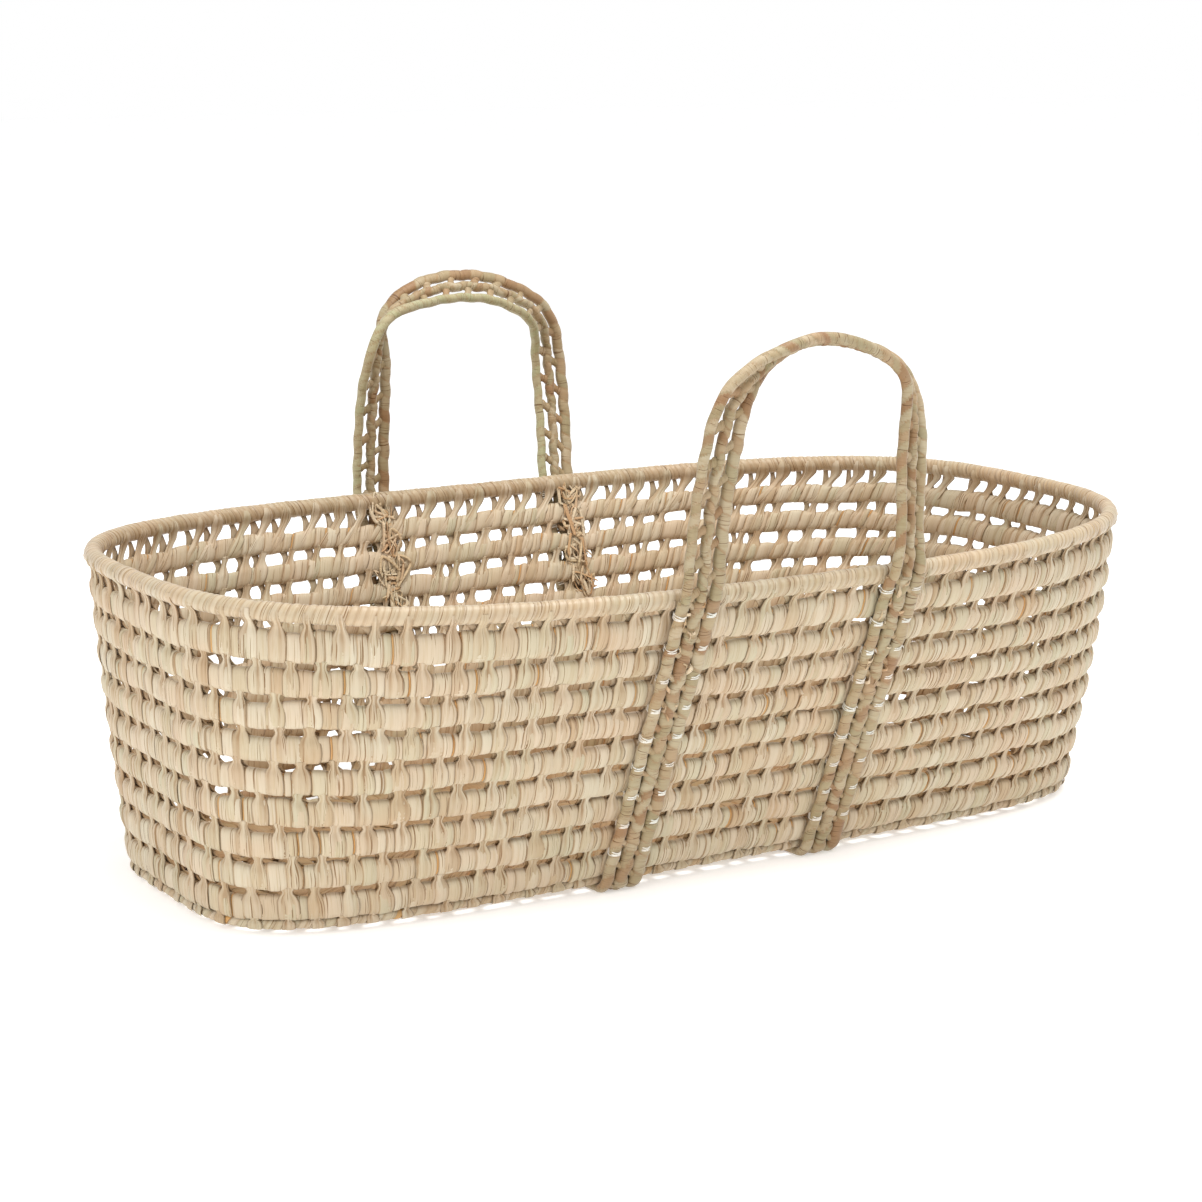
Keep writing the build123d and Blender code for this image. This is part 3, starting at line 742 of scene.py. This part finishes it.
def add_wrapped_ring(piece, surface, middle, radius, offset, pitch, rng, sides=18, lean=4.0):
    """Round coil wrapped with narrow strips side by side."""
    length = surface.length(middle)
    count = round(length / pitch)
    widths = rng.uniform(0.7, 1.3, count)
    edges = np.concatenate([[0], np.cumsum(widths)[:-1]]) / widths.sum()
    widths = widths / widths.sum()
    raised = rng.uniform(-0.12, 0.14, count)
    tilt = rng.uniform(-0.14, 0.14, count)
    across = 2 * WRAP_PLACES[None, :] - 1
    share = (edges[:, None] + WRAP_PLACES * widths[:, None]).ravel()
    relief = 0.3 * (1 - across ** 2) - 0.3 * across ** 10 + raised[:, None] + tilt[:, None] * across
    relief = relief.ravel() - 0.05
    # Painted shade in the lines between the wraps.
    groove_shade = np.tile(np.where(np.abs(across[0]) > 0.9, 0.42, 0.0), count)
    tone = np.repeat(rng.random(count), len(WRAP_PLACES))
    turn = np.linspace(-np.pi / 2, 3 * np.pi / 2, sides, endpoint=False)
    shares = share[:, None] + lean * np.sin(turn) / 2 / length
    local = radius + relief[:, None] + 0.12 * ripple(share, (41, 67), rng)[:, None]
    heights = middle + local * np.sin(turn)
    outs = offset + local * np.cos(turn)
    points = surface.place(shares, heights, outs)
    looks = np.zeros(points.shape)
    looks[..., 0] = tone[:, None]
    looks[..., 1] = groove_shade[:, None]
    # Painted shade on the coil's inner side.
    looks[..., 2] = np.clip(-np.cos(turn) - 0.2, 0, 1)[None, :] * 0.6
    along = np.append(share, share[0] + 1)[None] * length
    around = np.linspace(0, 2 * np.pi * radius, sides + 1)[None]
    piece.add(points[None], looks[None], along, around, closed=True)


# --- The wall ---
FRONT_TOP_SPREAD = 3.6  # the front's top row is broader, which nearly closes the rim's gap
EDGE_LEANS = (1.0, 1.0)  # of the stitches to the base's edge, outside and inside
EDGE_SCALE = 0.7  # those stitches are narrower


def wall_gap(gap, rows, rim_row, edge_row):
    """A gap's piece name and CAD node, and the rows below and above it."""
    if gap == 0:
        return "rim_leaf_stitches", "rim_stitches", rows[0], rim_row
    if gap < WALL_ROWS:
        return f"leaf_stitches_{gap:02d}", f"wall_stitches_{gap:02d}", rows[gap], rows[gap - 1]
    return "edge_leaf_stitches", "edge_stitches", edge_row, rows[-1]


def build_wall():
    rng = np.random.default_rng(11)
    gap_places = []
    for gap in range(WALL_ROWS + 1):
        height = TOP_ROW_TOP - gap * ROW_PITCH
        gap_places.append(stitch_shares(stitch_count(wall.length(height)), rng))
    rows = []
    for index in range(WALL_ROWS):
        middle = TOP_ROW_TOP - index * ROW_PITCH - ROW_BAND / 2
        above, below = gap_places[index], gap_places[index + 1]
        # Painted shade: inside, the rows are darker the lower they are, deeper in the basket.
        shade = 0.05 + 0.95 * (1 - middle / WALL_HEIGHT) ** 1.5
        row = Row(wall, middle, ROW_BAND, COIL_THICKNESS, above, below, rng, ROW_PUFF, shade, OPEN_BACK)
        rows.append(row)
    rows[0].top += FRONT_TOP_SPREAD * on_back(rows[0].grid, -2.2)
    for index, row in enumerate(rows):
        node = f"wall_coil_{index + 1:02d}"
        piece = Piece(f"leaf_row_{index + 1:02d}")
        add_row(piece, row, gap_places[index], rng)
        piece.build_on_basket(leaf, "palm_leaf", node)

    rim_row = RimRow(wall, WALL_HEIGHT, RIM_RADIUS, rng)
    edge_row = RimRow(wall, EDGE_RADIUS, EDGE_RADIUS, rng)
    for gap, places in enumerate(gap_places):
        name, node, lower, upper = wall_gap(gap, rows, rim_row, edge_row)
        outside, inside, leans, scale = PLAIN_OVER, PLAIN_OVER, (OUTSIDE_LEAN, INSIDE_LEAN), 1.0
        if gap == 0:
            outside, inside, leans = RIM_OVER, INNER_RIM_OVER, (OUTSIDE_LEAN, RIM_INSIDE_LEAN)
        elif gap == WALL_ROWS:
            leans, scale = EDGE_LEANS, EDGE_SCALE
        piece = Piece(name)
        for side, over in ((1, outside), (-1, inside)):
            add_fans(piece, wall, lower, upper, places, side, rng, over, leans, scale)
        piece.build_on_basket(leaf, "leaf_stitch", node)

    rim = Piece("wrapped_rim")
    add_wrapped_ring(rim, wall, WALL_HEIGHT, RIM_RADIUS, 0.0, 5.6, rng, sides=20, lean=5.0)
    rim.build_on_basket(rim_leaf, "rim_leaf", "rim_wrap", "rim_core")
    edge = Piece("wrapped_base_edge")
    add_wrapped_ring(edge, wall, EDGE_RADIUS, EDGE_RADIUS, -EDGE_INSET, 7.5, rng, sides=12, lean=5.0)
    edge.build_on_basket(leaf, "palm_leaf", "base_edge_coil")


# --- The base ---
CORE_STEP = 1.4
CORE_STITCH_OVERLAP = 3.0  # the core's stitches reach this far onto both rows
CORE_STITCH_MARGIN = 12.0  # and keep this far from its ends
EDGE_ROW_GAP = 4.0  # between the last base row and the coil at the edge


def base_level(x):
    """Height of the base's middle surface at a place along it."""
    return UNDERSIDE + COIL_THICKNESS / 2 - BASE_END_DROP * (x / BASE_HALF_LENGTH) ** 2


def build_base():
    rng = np.random.default_rng(23)
    last = BASE_ROWS * BASE_PITCH + BASE_BAND / 2
    gap_places = []
    for gap in range(BASE_ROWS + 1):
        distance = gap * BASE_PITCH + BASE_BAND / 2
        gap_places.append(stitch_shares(stitch_count(base.length(distance)), rng))
    rows = [None]
    for index in range(1, BASE_ROWS + 1):
        middle = index * BASE_PITCH
        # The base rows keep the default shade of 1.0, the full painted shade on their inner faces.
        rows.append(Row(base, middle, BASE_BAND, COIL_THICKNESS, gap_places[index],
                        gap_places[index - 1], rng))
        piece = Piece(f"base_leaf_row_{index}")
        add_row(piece, rows[index], gap_places[index], rng)
        piece.build_on_basket(leaf, "palm_leaf", f"base_coil_{index}")
    for index in range(1, BASE_ROWS + 1):
        if index == BASE_ROWS:
            rows.append(RimRow(base, last + EDGE_ROW_GAP + EDGE_RADIUS, EDGE_RADIUS, rng))
        piece = Piece(f"base_leaf_stitches_{index + 1}")
        for side in (1, -1):
            add_fans(piece, base, rows[index], rows[index + 1], gap_places[index], side, rng)
        piece.build_on_basket(leaf, "leaf_stitch", f"base_stitches_{index + 1}")

    core_half = BASE_HALF_LENGTH - BASE_BAND - BASE_ROWS * BASE_PITCH + BASE_BAND / 2
    x = np.arange(-core_half, core_half, CORE_STEP)
    path = np.stack([x, np.zeros_like(x), base_level(x)], axis=-1)
    sideways = np.tile([0.0, 1.0, 0.0], (len(x), 1))
    core = Piece("base_leaf_core")
    add_cord(core, path, sideways, "smooth", rng, BASE_BAND / 2, COIL_THICKNESS / 2)
    core.build_on_basket(leaf, "palm_leaf", "base_core")

    piece = Piece("base_leaf_stitches_1")
    stitch_x = np.arange(
        -core_half + CORE_STITCH_MARGIN, core_half - CORE_STITCH_MARGIN, STITCH_PITCH)
    for middle_x in stitch_x:
        for side in (-1, 1):
            reach = np.linspace(BASE_BAND / 2 - CORE_STITCH_OVERLAP,
                                BASE_BAND / 2 + BASE_GAP + CORE_STITCH_OVERLAP, 9)
            line = np.stack(
                [np.full(9, middle_x), side * reach, np.full(9, base_level(middle_x))], axis=-1)
            add_cord(piece, line, np.tile([1.0, 0, 0], (9, 1)), "plain", rng, 3.0, 1.9)
    piece.build_on_basket(leaf, "leaf_stitch", "base_stitches_1")


# --- Cords ---
CORD_STEP = 1.2
CORD_SIDES = 14
TONE_CHOICES = 4096  # a cord's turns of leaf take their tones from a list this long
STRAP_LINK_PITCH = 10.5
LOOP_LINK_PITCH = 12.5
STRAP_LINK_HALF = 4.4  # half the length of a link along its cords
LOOP_LINK_HALF = 5.6
LINK_TALL = 3.0  # half its thickness
LINK_POINTS = 9
LINK_WAIST = 0.45  # a link's middle is narrower by this share
LINK_GROOVE = 0.3  # links are a little darker than cords
LOOP_TALL = 4.1  # half the thickness of a handle's cord


def resample(points, step):
    """The same line with points a step apart."""
    travelled = np.concatenate([[0], np.cumsum(np.linalg.norm(np.diff(points, axis=0), axis=1))])
    count = max(int(round(travelled[-1] / step)), 2)
    wanted = np.linspace(0, travelled[-1], count + 1)
    columns = [np.interp(wanted, travelled, points[:, k]) for k in range(points.shape[1])]
    return np.stack(columns, axis=-1)


def soften(values, reach):
    """Moving average that leaves both ends in place."""
    count = len(values)
    total = np.concatenate([np.zeros((1, values.shape[1])), np.cumsum(values, axis=0)])
    index = np.arange(count)
    room = np.minimum(np.minimum(index, count - 1 - index), reach)
    return (total[index + room + 1] - total[index - room]) / (2 * room + 1)[:, None]


def wrapping(style, far, turn, start):
    """Which turn of leaf covers each point of a cord, its relief and its grooves' width."""
    uneven = 0.22 * np.sin(far / 23 + start * 6) + 0.13 * np.sin(far / 7.3 + start * 9)
    if style == "smooth":
        phase = far / 9.5 + 0.42 * np.sin(turn) + uneven + start
        return phase, 1.0 + 0.05 * np.abs(np.sin(np.pi * phase)) ** 0.4, 0.08
    if style == "knotted":
        phase = far / 8.5 + 0.5 * np.sin(turn + far / 9) + uneven + start
        knots = 0.86 + 0.24 * np.abs(np.sin(np.pi * phase)) ** 0.5
        return phase, knots + 0.05 * np.cos(3 * turn + far / 3), 0.13
    if style == "twisted":
        phase = far / 13.0 + turn / (2 * np.pi) + uneven + start
        return phase, 0.93 + 0.13 * np.abs(np.sin(np.pi * phase)) ** 0.5, 0.09
    return far / 300 + start, np.ones_like(far), 0.0


def add_cord(piece, path, sideways, style, rng, wide=CORD_RADIUS, tall=CORD_RADIUS, sides=CORD_SIDES):
    """Wrapped cord along a path. sideways is the direction of its width."""
    tangent = unit(np.gradient(path, axis=0))
    across = unit(sideways - tangent * np.sum(sideways * tangent, axis=1)[:, None])
    upright = np.cross(tangent, across)
    step = np.linalg.norm(np.diff(path, axis=0), axis=1)
    travelled = np.concatenate([[0], np.cumsum(step)])
    turn = np.arange(sides) / sides * 2 * np.pi
    far = travelled[:, None] + np.zeros(sides)
    phase, size, sharp = wrapping(style, far, turn, rng.random())
    tones = rng.random(TONE_CHOICES)
    tone = tones[np.floor(phase).astype(int) % TONE_CHOICES]
    fraction = phase % 1
    edge = np.minimum(fraction, 1 - fraction)
    # Painted shade in the grooves between turns of leaf.
    groove_shade = np.clip(1 - edge / sharp, 0, 1) * 0.95 if sharp else np.zeros_like(far)
    taper = np.minimum(np.minimum(np.arange(len(path)), np.arange(len(path))[::-1]) / 2.0, 1.0)
    taper = np.sqrt(np.clip(taper, 0.02, 1))[:, None]
    if style == "link":
        # A link is broad where it wraps a cord, and its waist leaves rounded windows.
        waist = LINK_WAIST * np.sin(np.pi * np.linspace(0, 1, len(path))) ** 2
        size = size * (1.0 - waist)[:, None]
    flat = (across[:, None] * (wide * np.cos(turn))[None, :, None]
            + upright[:, None] * (tall * np.sin(turn))[None, :, None])
    points = path[:, None] + flat * (size * taper)[..., None]
    looks = np.zeros(points.shape)
    looks[..., 0] = tone
    looks[..., 1] = np.maximum(groove_shade, LINK_GROOVE if style == "link" else 0.0)
    along = travelled[None]
    around = np.linspace(0, 2 * np.pi * max(wide, tall), sides + 1)[None]
    piece.add(points[None], looks[None], along, around)


STRAP_NODES = {"left": -1, "right": 1}
CORD_PLACES = {"left": -1, "middle": 0, "right": 1}
CORD_STYLES = {"left": "smooth", "middle": "knotted", "right": "twisted"}
STRAP_WIDTHS = {"left": 4.8, "middle": 5.6, "right": 5.7}  # half widths on the walls
LOOP_WIDTHS = {"left": 3.5, "middle": 3.6, "right": 4.8}  # half widths in the handles
joint_place = next(
    joint["pos_m"] for joint in frame["joints"] if joint["name"] == "front_handle_fold")
HINGE_Y, HINGE_Z = joint_place[1] / MM, joint_place[2] / MM
strap_low, strap_high = node_box("right_strap_middle_cord")
STRAP_X = (strap_low[0] + strap_high[0]) / 2
STRAP_TOP_IN = 2.9  # a strap ends this far inside the handle's bend line
STRAP_TOP_DOWN = 7.2  # and this far below it
CORNER_Y = -159.92  # where a strap turns under the base, on the front side
FLOOR_Z = 3.1  # height of its cords' middle lines there
BASE_DRIFT = -8.0  # the straps lean this far to -X by the time they reach the base
CORNER_ROUNDING = 6  # steps that soften a strap's corners
WEAVE = {-1: -0.5, 0: 0.8, 1: -0.5}  # how far each cord swings towards its links
WEAVE_FADE = 20.0  # the swing dies out this far from a cord's ends


def strap_line(offset, strap_x):
    """A strap cord: down the front wall, under the base and up the back wall."""
    top_y = HINGE_Y + STRAP_TOP_IN
    top_z = HINGE_Z - STRAP_TOP_DOWN
    corners = np.array([
        (0, top_y, top_z), (BASE_DRIFT, CORNER_Y, FLOOR_Z),
        (BASE_DRIFT, -CORNER_Y, FLOOR_Z), (0, -top_y, top_z)])
    corners[:, 0] += strap_x + offset
    return soften(resample(corners, CORD_STEP), CORNER_ROUNDING)


def weave(path, sideways, place, pitch):
    """Lets neighbouring cords lean to each other where their links are."""
    travelled = np.arange(len(path)) * CORD_STEP
    swing = np.sin(2 * np.pi * travelled / pitch)
    fade = np.clip(np.minimum(travelled, travelled[::-1]) / WEAVE_FADE, 0, 1)
    return path + sideways * (WEAVE[place] * swing * fade)[:, None]


def add_links(piece, path, sideways, rng, pitch, half_height):
    """Short knots that tie neighbouring cords together, in the two gaps by turns."""
    tangent = unit(np.gradient(path, axis=0))
    places = np.arange(pitch / 2, (len(path) - 4) * CORD_STEP, pitch)
    for number, place in enumerate(places):
        index = int((place + rng.uniform(-1.5, 1.5)) / CORD_STEP)
        side = 1 if number % 2 else -1
        reach = np.linspace(0.06, 0.94, LINK_POINTS) * CORD_SPACING * side
        slope = np.linspace(-1, 1, LINK_POINTS) * rng.uniform(1.5, 3.5) * side
        line = path[index] + sideways[index] * reach[:, None] + tangent[index] * slope[:, None]
        broad = np.tile(tangent[index], (LINK_POINTS, 1))
        wide = half_height * rng.uniform(0.85, 1.2)
        add_cord(piece, line, broad, "link", rng, wide, LINK_TALL, sides=10)


def build_straps():
    rng = np.random.default_rng(37)
    for strap, sign in STRAP_NODES.items():
        strap_x = sign * STRAP_X
        middle = strap_line(0.0, strap_x)
        sideways = np.tile([1.0, 0.0, 0.0], (len(middle), 1))
        for place, order in CORD_PLACES.items():
            path = strap_line(order * CORD_SPACING, strap_x)
            path = weave(path, sideways, order, 2 * STRAP_LINK_PITCH)
            piece = Piece(f"{strap}_strap_{place}")
            add_cord(piece, path, sideways, CORD_STYLES[place], rng, wide=STRAP_WIDTHS[place])
            piece.press_on_floor()
            piece.build_on_basket(cord_leaf, "handle_leaf", f"{strap}_strap_{place}_cord")
        piece = Piece(f"{strap}_strap_knots")
        add_links(piece, middle, sideways, rng, STRAP_LINK_PITCH, STRAP_LINK_HALF)
        piece.build_on_basket(cord_leaf, "handle_leaf", f"{strap}_strap_links")


# Middle line of each handle from its left end: x, y, z in millimetres. The front handle's
# left leg and the back handle's right leg lean out from the basket. A handle's cords lie
# side by side like a ribbon, and each pair in TURN is a share of the handle's length and
# the degrees that the ribbon has turned by there.
FRONT_LOOP = np.array([
    (-92.6, -255.2, 240.0), (-92.6, -259.2, 249.4), (-92.4, -264, 285), (-92, -270, 318),
    (-91, -278, 350), (-88, -283.5, 376), (-80, -284, 391), (-67, -283, 403),
    (-43, -277, 415), (-15, -270, 423), (12, -264, 423), (39, -260, 418),
    (64, -258, 409), (82, -257.5, 397), (92, -257, 379), (95, -257, 354),
    (94.5, -257, 325), (93.5, -258, 285), (92.6, -259.2, 249.4), (92.6, -255.2, 240.0)])
FRONT_TURN = (
    (0, 0), (0.27, 3), (0.33, 24), (0.38, 52), (0.43, 68), (0.5, 78), (0.58, 92),
    (0.66, 110), (0.71, 134), (0.76, 155), (0.82, 162), (0.88, 158), (0.93, 152), (1, 176))
BACK_LOOP = np.array([
    (-92.6, 255.2, 240.0), (-92.6, 259.2, 249.4), (-93, 256, 290), (-93.5, 250, 330),
    (-93.5, 242, 362), (-93, 238, 380), (-83, 241, 399), (-60, 246, 412),
    (-28, 252, 419.5), (2, 257, 420), (28, 260, 416.5), (52, 263, 408),
    (76, 268, 395), (91, 274, 376), (97, 279, 350), (98, 275, 318),
    (96, 267, 283), (92.6, 259.2, 249.4), (92.6, 255.2, 240.0)])
BACK_TURN = (
    (0, 0), (0.15, 6), (0.22, 16), (0.27, 36), (0.31, 62), (0.36, 98), (0.42, 125),
    (0.5, 134), (0.65, 142), (0.72, 166), (0.8, 180), (1, 180))
LOOP_SOFTEN = 7  # steps that soften a handle's line
TURN_SOFTEN = 16  # steps that soften its turning


def smooth_line(points, step):
    """Catmull-Rom curve through the points, resampled at a step."""
    padded = np.vstack([2 * points[0] - points[1], points, 2 * points[-1] - points[-2]])
    share = np.linspace(0, 1, 24, endpoint=False)[:, None]
    parts = []
    for a, b, c, d in zip(padded, padded[1:], padded[2:], padded[3:]):
        parts.append(0.5 * (2 * b + (c - a) * share + (2 * a - 5 * b + 4 * c - d) * share ** 2
                            + (3 * b - a - 3 * c + d) * share ** 3))
    parts.append(points[-1:])
    return resample(np.vstack(parts), step)


def build_handle(body, loop, turns, olive, rng):
    """A handle's three cords and their links.

    olive names the greener cords.
    """
    path = soften(smooth_line(loop, CORD_STEP), LOOP_SOFTEN)
    tangent = unit(np.gradient(path, axis=0))
    toward = np.array([0.0, -1.0, 0.0])
    front = unit(toward - tangent * (tangent @ toward)[:, None])
    outward = np.cross(front, tangent)
    share = np.linspace(0, 1, len(path))
    angle = np.interp(share, [s for s, _ in turns], [a for _, a in turns])
    angle = np.radians(soften(angle[:, None], TURN_SOFTEN)[:, 0])[:, None]
    leftward = outward * np.cos(angle) + front * np.sin(angle)
    for place, order in CORD_PLACES.items():
        line = path - leftward * (order * CORD_SPACING)
        line = weave(line, -leftward, order, 2 * LOOP_LINK_PITCH)
        piece = Piece(f"{body}_{place}")
        add_cord(piece, line, -leftward, CORD_STYLES[place], rng, LOOP_WIDTHS[place], LOOP_TALL)
        material = olive_leaf if place in olive else cord_leaf
        obj = piece.build(material, [f"{body}_{place}_cord"])
        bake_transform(obj)
    piece = Piece(f"{body}_knots")
    add_links(piece, path, -leftward, rng, LOOP_LINK_PITCH, LOOP_LINK_HALF)
    obj = piece.build(cord_leaf, [f"{body}_links"])
    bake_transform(obj)


# --- Ties ---
def strap_place(x, height):
    """Point on a front strap cord's line at a height above the base's underside."""
    z = UNDERSIDE + height
    share = (z - FLOOR_Z) / (HINGE_Z - FLOOR_Z)
    y = mix(CORNER_Y, HINGE_Y, share)
    return np.array([x + BASE_DRIFT * (1 - share), y, z])


def gap_middles():
    """Heights of the middles of the gaps, from the rim's down, without the lowest."""
    heights = [TOP_ROW_TOP + RIM_GAP / 2]
    for row in range(1, WALL_ROWS):
        heights.append(TOP_ROW_TOP - row * ROW_PITCH + ROW_GAP / 2)
    return heights


SLOPE_UP = unit(np.array([0.0, HINGE_Y - CORNER_Y, HINGE_Z - FLOOR_Z]))
SLOPE_IN = np.array([0.0, SLOPE_UP[2], -SLOPE_UP[1]])
ACROSS = np.array([1.0, 0.0, 0.0])


def mirrored(points, wall_side):
    """The same points on the front wall (1) or the back wall (-1)."""
    return points * np.array([1.0, wall_side, 1.0])


THREAD_RADIUS = 0.55
THREAD_STEPS = 26  # points in one turn of thread
RAFFIA_GAPS = 4  # the raffia sits in this many gaps from the rim down
RAFFIA_STRANDS = 12  # strands in one tie
RAFFIA_STEP = 1.6
RAFFIA_HALF_THICKNESS = 0.35
ROUND_THE_CORD = -5.0  # a strand this far in passes outside the strap's middle cord


def build_ties():
    rng = np.random.default_rng(53)
    threads = Piece("cotton_threads")
    strands = Piece("raffia_strands")
    heights = gap_middles()
    for wall_side in (1, -1):
        for strap_x in (-STRAP_X, STRAP_X):
            for offset in (-CORD_SPACING, CORD_SPACING):
                for height in heights:
                    add_thread_tie(threads, strap_place(strap_x + offset, height), wall_side, rng)
            for height in heights[:RAFFIA_GAPS]:
                add_raffia_tie(strands, strap_place(strap_x, height), wall_side, rng)
    threads.build_on_basket(cotton, "cotton_thread", "cotton_ties")
    strands.build_on_basket(raffia, "raffia", "raffia_ties")


def add_thread_tie(piece, centre, wall_side, rng):
    """Thread wound two or three times round a cord, with a loose end."""
    turns = rng.integers(2, 4)
    turn = np.linspace(0.2, 2 * np.pi * turns, THREAD_STEPS * turns)
    rise = np.linspace(-2.2, 2.2, len(turn)) + 0.5 * np.sin(turn * 1.7)
    radius = CORD_RADIUS + 0.9 + 0.2 * np.sin(turn * 2.3 + rng.random() * 6)
    deep = np.where(np.sin(turn) > 0, 1.6, 1.0)
    path = (centre + ACROSS * (radius * np.cos(turn))[:, None]
            + SLOPE_IN * (radius * deep * np.sin(turn))[:, None] + SLOPE_UP * rise[:, None])
    loose = path[-1] + np.cumsum(rng.normal(0, 0.45, (5, 3)) + np.array([0.1, -0.3, -0.5]), axis=0)
    path = resample(soften(np.vstack([path, loose]), 2), CORD_STEP)
    sideways = np.tile(SLOPE_UP, (len(path), 1)) + rng.normal(0, 0.01, (len(path), 3))
    add_cord(piece, mirrored(path, wall_side), mirrored(sideways, wall_side), "plain", rng,
             THREAD_RADIUS, THREAD_RADIUS, sides=6)


def add_raffia_tie(piece, centre, wall_side, rng):
    """Untidy raffia: loops over the inside of the wall and round the strap's middle cord."""
    for number in range(RAFFIA_STRANDS):
        wide, tall = rng.uniform(3, 12), rng.uniform(8, 18)
        lean = rng.uniform(-0.6, 0.6)
        aside = rng.normal(0, 4)
        points = []
        for corner in range(rng.integers(3, 6)):
            angle = 2 * np.pi * corner / 4.3 + rng.normal(0, 0.9) + number
            deep = rng.uniform(13.0, 16.5)
            if number < 3 and corner == 1:
                deep = ROUND_THE_CORD
            sideways = aside + wide * np.cos(angle)
            points.append(centre + ACROSS * sideways + SLOPE_IN * deep
                          + SLOPE_UP * (tall * np.sin(angle) + lean * sideways * 0.4))
        path = smooth_line(np.array(points), RAFFIA_STEP)
        sideways = unit(rng.normal(0, 0.2, 3) + SLOPE_UP)
        sideways = np.tile(sideways, (len(path), 1)) + rng.normal(0, 0.01, (len(path), 3))
        add_cord(piece, mirrored(path, wall_side), mirrored(sideways, wall_side), "plain", rng,
                 rng.uniform(0.7, 1.7), RAFFIA_HALF_THICKNESS, sides=6)


build_wall()
build_base()
build_straps()
rng_handles = np.random.default_rng(71)
build_handle("front_handle", FRONT_LOOP, FRONT_TURN, (), rng_handles)
build_handle("back_handle", BACK_LOOP, BACK_TURN, ("left",), rng_handles)
build_ties()


# --- Floor, light and camera ---
WORLD_LIGHT = 0.65
LAMPS = (  # name, place and size in metres, power in watts
    ("key", (-3.1, -0.8, 1.2), 1.3, 29.0),
    ("top", (0.3, -0.3, 3.0), 1.6, 46.0),
    ("inside", (0.2, -0.55, 1.5), 0.8, 9.5))
LAMP_TARGET = Vector((0, 0, 0.1))
CAMERA_PLACE = (-1.2123, -1.9390, 0.6560)
CAMERA_TARGET = Vector((-0.0169, 0.0018, 0.1875))
CAMERA_SENSOR = 36.0  # millimetres
CAMERA_LENS = 86.26


def build_floor():
    bpy.ops.mesh.primitive_plane_add(size=30, location=(0, 0, 0))
    floor = bpy.context.object
    floor.name = "floor"
    material = bpy.data.materials.new("pale_floor")
    material.use_nodes = True
    shader = material.node_tree.nodes["Principled BSDF"]
    set_inputs(shader, {"Base Color": (0.92, 0.92, 0.92, 1), "Roughness": 0.9,
                        "Emission Color": (1, 1, 1, 1), "Emission Strength": 0.4})
    floor.data.materials.append(material)


def build_lights():
    world = bpy.data.worlds.new("studio")
    bpy.context.scene.world = world
    world.use_nodes = True
    background = world.node_tree.nodes["Background"]
    set_inputs(background, {"Color": (1, 1, 1, 1)})
    # What the camera sees behind the basket stays white, the light itself is weaker.
    rays = world.node_tree.nodes.new("ShaderNodeLightPath")
    strength = world.node_tree.nodes.new("ShaderNodeMapRange")
    set_inputs(strength, {"To Min": WORLD_LIGHT, "To Max": 1.0})
    world.node_tree.links.new(rays.outputs["Is Camera Ray"], strength.inputs["Value"])
    world.node_tree.links.new(strength.outputs["Result"], background.inputs["Strength"])
    for name, place, size, power in LAMPS:
        data = bpy.data.lights.new(name, "AREA")
        data.size = size
        data.energy = power
        lamp = bpy.data.objects.new(name, data)
        lamp.location = place
        lamp.rotation_mode = "QUATERNION"
        lamp.rotation_quaternion = (Vector(place) - LAMP_TARGET).to_track_quat("Z", "Y")
        bpy.context.scene.collection.objects.link(lamp)


def build_camera():
    data = bpy.data.cameras.new("camera")
    data.sensor_width = CAMERA_SENSOR
    data.lens = CAMERA_LENS
    camera = bpy.data.objects.new("camera", data)
    camera.location = CAMERA_PLACE
    camera.rotation_mode = "QUATERNION"
    camera.rotation_quaternion = (CAMERA_TARGET - camera.location).to_track_quat("-Z", "Y")
    bpy.context.scene.collection.objects.link(camera)
    bpy.context.scene.camera = camera


build_floor()
build_lights()
build_camera()
bpy.context.scene.view_settings.view_transform = "Standard"
